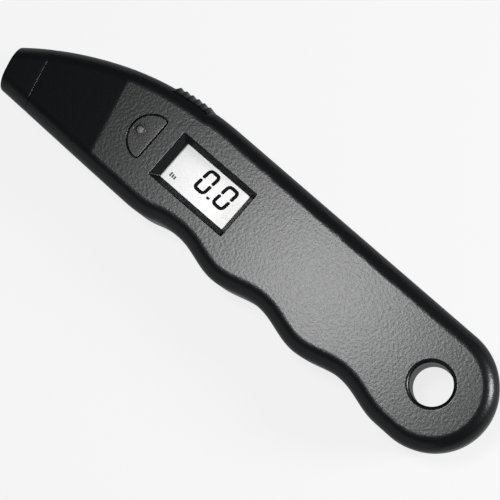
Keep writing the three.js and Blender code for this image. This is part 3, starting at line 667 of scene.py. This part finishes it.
def tip_ring(out, seam_inset):
    """One section of the tip, square to the nozzle. The sections near the end are drawn in."""
    rim = max(0.0, out + TIP_RIM)
    shrink = TIP_RIM - math.sqrt(max(TIP_RIM ** 2 - rim ** 2, 0)) + seam_inset
    corner = rounding(EDGE_ROUND, 9)
    profile = corner[::-1] + [(i, THICKNESS - d) for i, d in corner]
    fall = max(out + RAMP_LENGTH, 0) * RAMP_SLOPE
    middle = (THICKNESS - fall) / 2
    section = []
    for lower in (True, False):
        width, depth = TIP_END["lower" if lower else "upper"]
        near = max(0.0, min(1.0, (out + depth) / depth))
        draw_in = width * (1 - math.sqrt(1 - near ** 2)) if near < 1 else width
        sign = -1 if lower else 1
        side = []
        for inset, z in profile:
            a = tip_side(inset, out, lower) + sign * (draw_in + shrink)
            z = z - fall if z > SPLIT_Z + CUT_PAST else z
            z = middle + (z - middle) * (1 - shrink / middle)
            side.append(nozzle_point(a, z, out))
        section += side if lower else reversed(side)
    return section


def nozzle_tip():
    """The tip with its collar, the spigot behind it, the bore for the valve and the probe's slot."""
    start = -TIP_LENGTH + SEAM_GAP / 2
    part = SEAM_ROUND * 0.29
    stations = [(start, COLLAR_DROP + SEAM_ROUND), (start + part, COLLAR_DROP + part)]
    stations += [(start + SEAM_ROUND, COLLAR_DROP), (start + COLLAR_LENGTH, COLLAR_DROP)]
    body = start + COLLAR_LENGTH + COLLAR_STEP
    straight = -TIP_END["lower"][1]
    body_steps, end_steps = 6, 26
    stations += [(body + (straight - body) * i / body_steps, 0) for i in range(body_steps + 1)]
    stations += [(straight * math.cos(math.pi / 2 * i / end_steps), 0) for i in range(1, end_steps)]
    stations += [(-0.08, 0), (-0.02, 0), (-0.002, 0)]
    tip = stack("chuck_nose", [tip_ring(s, inset) for s, inset in stations])
    spigot = nozzle_lathe("spigot", [(4.95, -16.02), (5.3, -15.67), (5.3, -8.83)])
    tip = boolean(tip, "UNION", spigot)
    bore = [(4.6, -17), (4.6, -9), (4.15, -9), (4.15, -0.5), (4.25, -0.2), (4.45, 0.05), (4.6, 0.3), (4.6, 1)]
    cutters = [nozzle_lathe("bore_cutter", bore, 96), nozzle_block("probe_cutter", *PROBE_SLOT, -25, 5, 0.2)]
    return finish_surface(boolean(tip, "DIFFERENCE", *cutters))


def chuck_body():
    """The brass insert, open at both ends, with a shoulder for the seal and a tail for the air tube."""
    profile = [
        (0.9, -24.5), (1.85, -24.5), (2, -24.35), (2, -18.6), (5.05, -18.6), (5.2, -18.45), (5.2, -16.3),
        (4.3, -16.3), (4.3, -12.45), (4.15, -12.3), (1.7, -12.3), (1.55, -12.45), (1.55, -14.8), (0.9, -14.8),
    ]
    return finish_surface(nozzle_lathe("chuck_insert", profile, 64, joined=True))


def chuck_seal():
    outside = [(1.7, -12), (4.1, -12), (4.3, -11.8), (4.3, -9.5), (4.1, -9.3)]
    lip = [(2.6, -9.3), (2.1, -9.45), (1.7, -9.9)]
    return finish_surface(nozzle_lathe("valve_seal", outside + lip, 64, joined=True))


def valve_pin():
    radius, neck_out, dome = 0.75, -7.3, 0.3
    foot = [(0.0, -14.5), (1.05, -14.5), (1.2, -14.35), (1.2, -13.15), (1.05, -13)]
    neck = [(radius, -12.9), (radius, neck_out)]
    neck += [(radius * math.cos(a), neck_out + dome * math.sin(a)) for a in (0.5, 1.0, 1.35)]
    return finish_surface(nozzle_lathe("depressor_pin", foot + neck, 32))


# ================================================================ thumb slider and probe

def saddle_ring(angle, lift, rib):
    """The slider's section: it hugs the casing's rounded edge, and `rib` raises its outer skin."""
    flat = THICKNESS / 2 - EDGE_ROUND
    most = math.asin((SADDLE_HALF_HEIGHT - flat) / EDGE_ROUND)
    centre = TRACK_RADIUS - EDGE_ROUND
    half_steps = 10
    skin, under = [], []
    for i in range(-half_steps, half_steps + 1):
        turn = most * i / half_steps
        c, s = math.cos(turn), math.sin(turn)
        z = SPLIT_Z + (math.copysign(flat, turn) if i else 0)
        fade = 1 - 0.55 * (abs(s) / math.sin(most)) ** 3
        height = SADDLE_BASE * lift + rib * fade
        outer = EDGE_ROUND + SADDLE_THINNEST + height
        skin.append((centre + outer * c, z + (EDGE_ROUND + height) * s))
        under.append((centre + (EDGE_ROUND + SADDLE_CLEARANCE) * c, z + EDGE_ROUND * s))
    return [(*track_point(r, angle), z) for r, z in skin + under[::-1]]


def tread_slider():
    """A saddle with rounded ribs across it, and the stem and peg that reach through the slot."""
    rings = []
    start, span = SLIDER_MIDDLE - SLIDER_HALF_ANGLE, 2 * SLIDER_HALF_ANGLE
    stations = RIBS * STATIONS_PER_RIB
    for i in range(stations + 1):
        t = i / stations
        rib = RIB_HEIGHT * (0.5 - 0.5 * math.cos(2 * math.pi * RIBS * t)) ** 2
        end = min(t, 1 - t) * stations
        lift = min(1.0, 0.25 + 0.375 * end)
        rings.append(saddle_ring(start + span * t, lift, rib))
    slider = stack("thumb_slider", rings)
    side = STEM_HALF / TRACK_RADIUS
    peg = PEG_HALF / TRACK_RADIUS
    stem = track_block("stem", 74.6, 80.5, SLIDER_MIDDLE - side, SLIDER_MIDDLE + side, 8.8, 11.2)
    foot = track_block("peg", 74.6, 76.6, SLIDER_MIDDLE - peg, SLIDER_MIDDLE + peg, 3.3, 9.3)
    return finish_surface(boolean(slider, "UNION", stem, foot), RIB_SHARP_ANGLE)


def tread_probe():
    """A flat steel tongue with a rounded end and a cut line for every millimetre."""
    low, high = PROBE_Z
    stations = ((-50, 0, 0), (-1.0, 0, 0), (-0.65, 0.12, 0.04), (-0.48, 0.3, 0.1), (PROBE_END_OUT, 0.55, 0.2))
    rings = []
    for out, narrow, thin in stations:
        half = PROBE_HALF - narrow
        section = rounded_rectangle(-half, half, low + thin, high - thin, 0.15, 0, 3)
        rings.append([nozzle_point(a, z, out) for a, z, _ in section])
    probe = stack("depth_probe", rings)
    cutters = []
    for i in range(1, PROBE_LINES + 1):
        reach = -0.2 if i % 5 else 0.7
        start, end = PROBE_END_OUT - i - PROBE_LINE_HALF, PROBE_END_OUT - i + PROBE_LINE_HALF
        cutters.append(nozzle_block("line", -2, reach, 3.18, 3.4, start, end))
    return finish_surface(boolean(probe, "DIFFERENCE", *cutters))


# ================================================================ button, display, battery cover

def light_button():
    """The cap with softened edges, its flange and stem, and a raised lamp sign."""
    flange = [(0.45, 16.6), (0.9, 16.75), (0.9, 17.5), (0.75, 17.6)]
    edge = [(0, 17.6), (0, 19.62), (-0.05, 19.82), (-0.16, 19.95), (-0.34, THICKNESS)]
    cap = stack("lamp_button", [d_loop(grow, z) for grow, z in flange + edge])
    stem = lathe("stem", BUTTON["x"] - STEM_OFFSET, BUTTON["y"], [(1.3, 15.35), (1.5, 15.5), (1.5, 17)], 32)
    cap = boolean(cap, "DIFFERENCE", *lamp_outline())
    return finish_surface(boolean(cap, "UNION", stem, lamp_face()))


def lamp_outline():
    """The bulb's ring and the line of its cap, as fine grooves in the button."""
    x, y = LAMP
    x0, x1, half = x + LAMP_CAP["x0"], x + LAMP_CAP["x1"], LAMP_CAP["half"]
    ring_groove = ring_of_revolution("groove", x, y, [(1.42, 20.1), (1.62, 19.9), (1.82, 19.9), (2.02, 20.1)])
    cap_groove = box_piece("groove", x0, x1, y - half, y + half, 19.9, 20.3, LAMP_CAP["corner"])
    return [ring_groove, cap_groove]


def lamp_face():
    """The low face of the bulb, which leans a little towards the display."""
    profile = [(1.3, 19.8), (1.3, 19.99), (1.15, 20.05), (0.8, 20.08), (0.4, 20.09), (0.0, 20.09)]
    face = lathe("face", *LAMP, profile, 40)
    for vertex in face.data.vertices:
        vertex.co.z -= LAMP_LEAN * (vertex.co.x - place((LAMP[0], 0, 0)).x)
    return face


def ring_of_revolution(name, x, y, section, count=48):
    """A ring whose section, a closed list of (radius, z), is carried round a vertical axis."""
    rings = []
    for i in range(count):
        a = 2 * math.pi * i / count
        rings.append([(x + r * math.cos(a), y + r * math.sin(a), z) for r, z in section])
    return stack(name, rings, joined=True)


def lcd_panel():
    return finish_surface(box_piece("lcd_panel", *PANEL_BOX, 0.4, 0.1))


def lcd_cover():
    return finish_surface(box_piece("display_window", *WINDOW_BOX, 0.5, 0.08))


def digit_half(centre_x, upper):
    """Half of a nought: up one side, over with rounded corners and down the other, as one closed stroke."""
    half_w = (DIGIT["width"] - DIGIT["stroke"]) / 2
    half_h = (DIGIT["height"] - DIGIT["stroke"]) / 2
    corner = DIGIT["corner"]
    path = [(-half_w, DIGIT["gap"])]
    corner_steps = 4
    for cx, start in ((-half_w + corner, 180), (half_w - corner, 90)):
        for i in range(corner_steps + 1):
            a = math.radians(start - 90 * i / corner_steps)
            path.append((cx + corner * math.cos(a), half_h - corner + corner * math.sin(a)))
    path.append((half_w, DIGIT["gap"]))
    outline = stroke_outline([Vector(p) for p in path], DIGIT["stroke"] / 2)
    sign = 1 if upper else -1
    points = []
    for p in outline:
        y = p.y * sign
        points.append((centre_x + p.x + y * DIGIT_SLANT, DIGIT_MIDDLE_Y + y))
    return points


def stroke_outline(path, half):
    """Both sides of a line of some width, with ends drawn to a blunt point as display segments are."""
    left, right = [], []
    last = len(path) - 1
    for i, p in enumerate(path):
        along = (path[min(i + 1, last)] - path[max(i - 1, 0)]).normalized()
        side = Vector((-along.y, along.x)) * half
        left.append(p + side)
        right.append(p - side)
    first = (path[1] - path[0]).normalized() * half * 0.5
    final = (path[-1] - path[-2]).normalized() * half * 0.5
    return left + [path[-1] + final] + right[::-1] + [path[0] - first]


def flat_mark(name, outline):
    return stack(name, [[(x, y, z) for x, y in outline] for z in INK_Z])


def display_digits():
    """The reading 0.0 as seven-segment noughts and a decimal point."""
    marks = []
    for centre in DIGIT_CENTRES:
        marks += [flat_mark("half", digit_half(centre, upper)) for upper in (True, False)]
    point = rounded_rectangle(*POINT_BOX, 0.25, 0)
    marks.append(flat_mark("point", [(x, y) for x, y, _ in point]))
    return join("digits", marks)


def unit_mark():
    """A small unit sign, as three plain bars."""
    marks = []
    for i in range(UNIT_BARS):
        x0 = UNIT_BAR["x"] + UNIT_BAR["pitch"] * i
        head_y = UNIT_BAR["head_y"] - UNIT_BAR["step"] * i
        bar = rounded_rectangle(x0, x0 + UNIT_BAR["width"], UNIT_BAR["foot_y"], head_y, 0.12, 0, 2)
        marks.append(flat_mark("bar", [(x, y) for x, y, _ in bar]))
    return join("unit_sign", marks)


def join(name, objects):
    """One object from several, which are used up."""
    bm = bmesh.new()
    for obj in objects:
        bm.from_mesh(obj.data)
        bpy.data.objects.remove(obj)
    mesh = bpy.data.meshes.new(name)
    bm.to_mesh(mesh)
    bm.free()
    made = bpy.data.objects.new(name, mesh)
    bpy.context.scene.collection.objects.link(made)
    return made


def battery_cover():
    """A round lid with a coin slot, the neck behind it and three lugs."""
    lid = [(0.0, 0.0), (11.35, 0.0), (11.62, 0.08), (11.76, 0.25), (11.8, 0.5), (11.8, 1.6)]
    neck = [(10.9, 1.6), (10.9, 3.6), (10.3, 3.6), (10.3, 1.6), (0.0, 1.6)]
    cover = lathe("battery_lid", *CELL, lid + neck, 96)
    turns = [LUG_TURN * i for i in range(COVER_LUGS)]
    lugs = [cell_sector("lug", 10.35, 11.9, turn, math.radians(11), 2.7, 3.55) for turn in turns]
    cover = boolean(cover, "UNION", *lugs)
    x, y = CELL
    slot = []
    for grow, z in [(0.35, -0.5), (0.35, 0), (0.1, 0.12), (0, 0.3), (0, 0.9)]:
        dx, dy = (half + grow for half in COIN_SLOT_HALF)
        slot.append(rounded_rectangle(x - dx, x + dx, y - dy, y + dy, dy - 0.05, z))
    return finish_surface(boolean(cover, "DIFFERENCE", stack("coin_slot", slot)))


def case_screw(index):
    """A cross-head screw seen from the back."""
    x, y = CASE_SCREWS[index]
    head = [(0.0, 0.5), (1.4, 0.52), (1.85, 0.68), (2.1, 1.0), (2.1, 2.0)]
    shank = [(1.15, 2.0), (1.15, 13.6), (0.4, 14.9), (0.0, 15.0)]
    screw = lathe("screw_%d" % (index + 1), x, y, head + shank, 40)
    bars = []
    for dx, dy in ((CROSS_ARM, CROSS_HALF), (CROSS_HALF, CROSS_ARM)):
        bars.append(box_piece("bar", x - dx, x + dx, y - dy, y + dy, -1, 1.2, 0.1))
    return finish_surface(boolean(screw, "DIFFERENCE", *bars))


# ================================================================ materials

class Finish:
    """A procedural surface: its shader, and helpers that add noise in the object's own coordinates."""

    def __init__(self, name, colour, roughness, metallic=0.0, ior=1.5):
        self.material = bpy.data.materials.new(name)
        self.material.use_nodes = True
        self.nodes = self.material.node_tree.nodes
        self.links = self.material.node_tree.links
        self.shader = self.nodes["Principled BSDF"]
        self.colour, self.roughness = colour, roughness
        self.shader.inputs["Base Color"].default_value = (*colour, 1)
        self.shader.inputs["Roughness"].default_value = roughness
        self.shader.inputs["Metallic"].default_value = metallic
        self.shader.inputs["IOR"].default_value = ior
        self.material.diffuse_color = (*colour, 1)
        self.coordinates = self.nodes.new("ShaderNodeTexCoord").outputs["Object"]

    def noise(self, size, detail=2.0, stretch=(1, 1, 1)):
        """Noise whose features are about `size` millimetres across."""
        mapping = self.nodes.new("ShaderNodeMapping")
        mapping.inputs["Scale"].default_value = [s / (size * MM) for s in stretch]
        texture = self.nodes.new("ShaderNodeTexNoise")
        texture.inputs["Scale"].default_value = 1.0
        texture.inputs["Detail"].default_value = detail
        self.links.new(self.coordinates, mapping.inputs["Vector"])
        self.links.new(mapping.outputs["Vector"], texture.inputs["Vector"])
        return texture.outputs["Fac"]

    def spread(self, value, low, high, contrast=0.3):
        """Stretches a value that lies round a half to run from low to high."""
        remap = self.nodes.new("ShaderNodeMapRange")
        remap.inputs["From Min"].default_value = 0.5 - contrast
        remap.inputs["From Max"].default_value = 0.5 + contrast
        remap.inputs["To Min"].default_value = low
        remap.inputs["To Max"].default_value = high
        self.links.new(value, remap.inputs["Value"])
        return remap.outputs["Result"]

    def mottle(self, value, other, amount, contrast=0.3):
        """Blends the base colour towards another where the value is high."""
        mix = self.nodes.new("ShaderNodeMix")
        mix.data_type = "RGBA"
        mix.inputs["A"].default_value = (*self.colour, 1)
        mix.inputs["B"].default_value = (*other, 1)
        self.links.new(self.spread(value, 0, amount, contrast), mix.inputs["Factor"])
        self.links.new(mix.outputs["Result"], self.shader.inputs["Base Color"])

    def vary_roughness(self, value, swing):
        varied = self.spread(value, self.roughness - swing, self.roughness + swing)
        self.links.new(varied, self.shader.inputs["Roughness"])

    def relief(self, value, depth):
        """Bump that stands `depth` millimetres high."""
        bump = self.nodes.new("ShaderNodeBump")
        bump.inputs["Distance"].default_value = depth * MM
        bump.inputs["Strength"].default_value = 1.0
        self.links.new(value, bump.inputs["Height"])
        self.links.new(bump.outputs["Normal"], self.shader.inputs["Normal"])


def textured_plastic(name, colour, roughness=0.3, grain=0.8, depth=0.038, ior=1.4):
    """Moulded plastic with a fine spark-eroded grain."""
    finish = Finish(name, colour, roughness, ior=ior)
    finish.vary_roughness(finish.noise(0.7, 3), 0.012)
    finish.mottle(finish.noise(0.8, 3), tuple(c * 1.5 for c in colour), 0.6)
    finish.relief(finish.noise(grain, 2), depth)
    return finish.material


def smooth_plastic(name, colour, roughness=0.42, depth=0.004, ior=1.5):
    finish = Finish(name, colour, roughness, ior=ior)
    finish.vary_roughness(finish.noise(4, 3), 0.06)
    finish.mottle(finish.noise(3, 2), tuple(c * 0.86 for c in colour), 0.7)
    finish.relief(finish.noise(0.5, 3), depth)
    return finish.material


def turned_metal(name, colour, roughness, stretch):
    """Metal with tool marks that run one way."""
    finish = Finish(name, colour, roughness, metallic=1.0)
    finish.vary_roughness(finish.noise(0.4, 3, stretch), 0.08)
    finish.mottle(finish.noise(2.5, 3), tuple(c * 0.72 for c in colour), 0.6)
    finish.relief(finish.noise(0.3, 2, stretch), 0.004)
    return finish.material


def rubber():
    finish = Finish("seal_rubber", (0.012, 0.012, 0.013), 0.7)
    finish.vary_roughness(finish.noise(1.2, 3), 0.1)
    finish.mottle(finish.noise(1.0, 3), (0.03, 0.03, 0.03), 0.5)
    finish.relief(finish.noise(0.25, 3), 0.01)
    return finish.material


def board_laminate():
    finish = Finish("board_laminate", (0.012, 0.09, 0.035), 0.4)
    finish.vary_roughness(finish.noise(2, 2), 0.06)
    finish.mottle(finish.noise(1.4, 1, (1, 0.15, 1)), (0.03, 0.17, 0.07), 0.8)
    finish.relief(finish.noise(0.5, 1, (1, 0.2, 1)), 0.01)
    return finish.material


def lcd_face_and_painted_light():
    """The pale reflective face of the display, with a painted reflection that makes it a little brighter
    towards the end away from the nose, and a faint painted glow that makes it brighter still.
    """
    finish = Finish("lcd_face_and_painted_light", (0.6, 0.605, 0.605), 0.35)
    split = finish.nodes.new("ShaderNodeSeparateXYZ")
    finish.links.new(finish.coordinates, split.inputs["Vector"])
    along = finish.nodes.new("ShaderNodeMapRange")
    along.inputs["From Min"].default_value = place((DISPLAY[0], 0, 0)).x
    along.inputs["From Max"].default_value = place((DISPLAY[1], 0, 0)).x
    finish.links.new(split.outputs["X"], along.inputs["Value"])
    # Painted reflection: the base colour grows paler towards the end away from the nose.
    finish.mottle(along.outputs["Result"], (0.86, 0.86, 0.85), 1.0, contrast=0.5)
    finish.vary_roughness(finish.noise(2, 2), 0.04)
    finish.relief(finish.noise(0.2, 2), 0.0008)
    # Painted glow: the face gives off light so that it looks brighter.
    finish.shader.inputs["Emission Color"].default_value = (1.0, 1.0, 0.99, 1)
    finish.shader.inputs["Emission Strength"].default_value = LCD_PAINTED_GLOW
    return finish.material


def lcd_ink():
    finish = Finish("lcd_ink", (0.004, 0.004, 0.005), 0.6, ior=1.12)
    finish.vary_roughness(finish.noise(0.8, 2), 0.05)
    finish.mottle(finish.noise(0.6, 2), (0.008, 0.008, 0.009), 0.7)
    finish.relief(finish.noise(0.2, 1), 0.0005)
    return finish.material


def faint_ink():
    finish = Finish("faint_ink", (0.07, 0.07, 0.07), 0.6, ior=1.12)
    finish.vary_roughness(finish.noise(0.8, 2), 0.05)
    finish.mottle(finish.noise(0.5, 2), (0.15, 0.15, 0.15), 0.8)
    return finish.material


def clear_window():
    """Thin clear acrylic: it mirrors little head on and more at a slant, from either side."""
    finish = Finish("clear_window", (1, 1, 1), 0.04, ior=1.49)
    finish.vary_roughness(finish.noise(3, 3, (1, 0.3, 1)), 0.02)
    nodes, links = finish.nodes, finish.links
    clear = nodes.new("ShaderNodeBsdfTransparent")
    gloss = nodes.new("ShaderNodeBsdfGlossy")
    facing = nodes.new("ShaderNodeLayerWeight")
    facing.inputs["Blend"].default_value = 0.5
    steepness = nodes.new("ShaderNodeMath")
    steepness.operation = "POWER"
    steepness.inputs[1].default_value = 5
    share = nodes.new("ShaderNodeMapRange")
    share.inputs["To Min"].default_value = WINDOW_MIRROR
    mix = nodes.new("ShaderNodeMixShader")
    roughness = finish.shader.inputs["Roughness"].links[0].from_socket
    links.new(roughness, gloss.inputs["Roughness"])
    links.new(facing.outputs["Facing"], steepness.inputs[0])
    links.new(steepness.outputs["Value"], share.inputs["Value"])
    links.new(share.outputs["Result"], mix.inputs["Fac"])
    links.new(clear.outputs["BSDF"], mix.inputs[1])
    links.new(gloss.outputs["BSDF"], mix.inputs[2])
    links.new(mix.outputs["Shader"], nodes["Material Output"].inputs["Surface"])
    nodes.remove(finish.shader)
    return finish.material


MATERIALS = {
    "casing_plastic": textured_plastic("casing_plastic", BLACK_PLASTIC),
    "nozzle_plastic": textured_plastic("nozzle_plastic", (0.0034, 0.0038, 0.0048), 0.32, 0.45, 0.03),
    "control_plastic": textured_plastic("control_plastic", (0.0032, 0.0036, 0.0042), 0.32, 0.45, 0.03),
    "inner_plastic": smooth_plastic("inner_plastic", (0.02, 0.02, 0.021)),
    "white_plastic": smooth_plastic("white_plastic", (0.72, 0.71, 0.68)),
    "clear_window": clear_window(),
    "display_glass": lcd_face_and_painted_light(),
    "rubber_seal": rubber(),
    "brass": turned_metal("brass", (0.62, 0.42, 0.16), 0.3, (1, 0.12, 0.12)),
    "spring_steel": turned_metal("spring_steel", (0.5, 0.5, 0.51), 0.26, (0.1, 1, 1)),
    "cell_steel": turned_metal("cell_steel", (0.62, 0.62, 0.61), 0.24, (1, 0.1, 1)),
    "screw_steel": turned_metal("screw_steel", (0.32, 0.32, 0.33), 0.34, (1, 1, 0.1)),
    "board_laminate": board_laminate(),
    "lead_sleeve": smooth_plastic("lead_sleeve", (0.3, 0.02, 0.015), 0.45),
}
INK = lcd_ink()
FAINT_INK = faint_ink()


def dress(obj, material):
    obj.data.materials.clear()
    obj.data.materials.append(material)
    for polygon in obj.data.polygons:
        polygon.material_index = 0


def add_piece(obj, body, slot, *nodes, material=None):
    """Gives a piece its finish, taken from its slot unless a material is given, and its body, and hides the
    frame's nodes that it stands for.
    """
    dress(obj, material or MATERIALS[slot])
    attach(obj, body)
    if nodes:
        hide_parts(*nodes)


# ================================================================ assembly

def build_pieces():
    add_piece(front_shell(), "casing", "casing_plastic", "front_shell")
    add_piece(back_shell(), "casing", "casing_plastic", "back_shell")
    add_piece(nozzle_tip(), "casing", "nozzle_plastic", "nozzle_tip")
    add_piece(chuck_body(), "casing", "brass", "chuck_body")
    add_piece(chuck_seal(), "casing", "rubber_seal", "chuck_seal")
    add_piece(valve_pin(), "casing", "brass", "valve_pin")
    add_piece(tread_slider(), "tread_slider", "control_plastic", "tread_slider")
    add_piece(tread_probe(), "tread_probe", "spring_steel", "tread_probe")
    add_piece(light_button(), "light_button", "control_plastic", "light_button")
    add_piece(lcd_cover(), "casing", "clear_window", "lcd_window")
    add_piece(lcd_panel(), "casing", "display_glass", "lcd_glass")
    add_piece(display_digits(), "casing", "display_glass", material=INK)
    add_piece(unit_mark(), "casing", "display_glass", material=FAINT_INK)
    add_piece(battery_cover(), "battery_cover", "casing_plastic", "battery_cover")
    for i in range(len(CASE_SCREWS)):
        add_piece(case_screw(i), "casing", "screw_steel", "case_screw_%d" % (i + 1))


def dress_frame_nodes():
    for part in frame["record"]["subparts"]:
        dress(frame["nodes"][part["node"]], MATERIALS[part["material_slot"]])


# ================================================================ stage, light and camera

def add_floor():
    """A pale floor that glows evenly, and less strongly where the gauge mirrors it."""
    below = (0, 0, -0.1 * MM)
    bpy.ops.mesh.primitive_grid_add(x_subdivisions=8, y_subdivisions=8, size=2 * FLOOR_HALF, location=below)
    floor = bpy.context.object
    floor.name = "floor"
    finish = Finish("pale_floor", FLOOR_COLOUR, 0.9)
    finish.mottle(finish.noise(240, 2), tuple(c * 0.97 for c in FLOOR_COLOUR), 1.0)
    finish.shader.inputs["Emission Color"].default_value = (1.0, 1.0, 1.0, 1)
    path = finish.nodes.new("ShaderNodeLightPath").outputs["Is Glossy Ray"]
    dim = finish.nodes.new("ShaderNodeMapRange")
    dim.inputs["To Min"].default_value = FLOOR_GLOW
    dim.inputs["To Max"].default_value = FLOOR_GLOW * FLOOR_IN_GLOSS
    finish.links.new(path, dim.inputs["Value"])
    finish.links.new(dim.outputs["Result"], finish.shader.inputs["Emission Strength"])
    dress(floor, finish.material)


def add_lamp(name, location, aim, size, level):
    """An area light whose face has this radiance. A size is a disc's diameter, or (width, height)."""
    light = bpy.data.lights.new(name, "AREA")
    if isinstance(size, tuple):
        light.shape = "RECTANGLE"
        light.size, light.size_y = size[0] * MM, size[1] * MM
        area = light.size * light.size_y
    else:
        light.shape = "DISK"
        light.size = size * MM
        area = math.pi * light.size ** 2 / 4
    light.energy = level * math.pi * area
    obj = bpy.data.objects.new(name, light)
    obj.location = place(location)
    obj.rotation_mode = "QUATERNION"
    obj.rotation_quaternion = (place(aim) - place(location)).to_track_quat("-Z", "Y")
    obj.visible_camera = False
    bpy.context.scene.collection.objects.link(obj)


def add_world():
    world = bpy.data.worlds.new("studio")
    world.use_nodes = True
    background = world.node_tree.nodes["Background"]
    background.inputs["Color"].default_value = (0.96, 0.98, 1.0, 1)
    background.inputs["Strength"].default_value = WORLD_LEVEL
    bpy.context.scene.world = world


def add_camera():
    """Looks down on the front face, rolled so that the gauge lies across the frame."""
    forward = (CAMERA_AIM - CAMERA_AT).normalized()
    along = Vector((1, 0, 0))
    along = (along - forward * along.dot(forward)).normalized()
    below = forward.cross(along)
    right = along * math.cos(CAMERA_ROLL) - below * math.sin(CAMERA_ROLL)
    down = along * math.sin(CAMERA_ROLL) + below * math.cos(CAMERA_ROLL)
    data = bpy.data.cameras.new("camera")
    data.lens = CAMERA_LENS
    data.sensor_width = CAMERA_SENSOR
    data.clip_start = 0.01
    camera = bpy.data.objects.new("camera", data)
    rotation = Matrix((right, -down, -forward)).transposed().to_4x4()
    camera.matrix_world = Matrix.Translation(place(CAMERA_AT)) @ rotation
    bpy.context.scene.collection.objects.link(camera)
    bpy.context.scene.camera = camera


dress_frame_nodes()
build_pieces()
add_floor()
add_world()
for lamp_name, lamp in LAMPS.items():
    add_lamp(lamp_name, **lamp)
add_camera()
bpy.context.scene.view_settings.view_transform = "Standard"
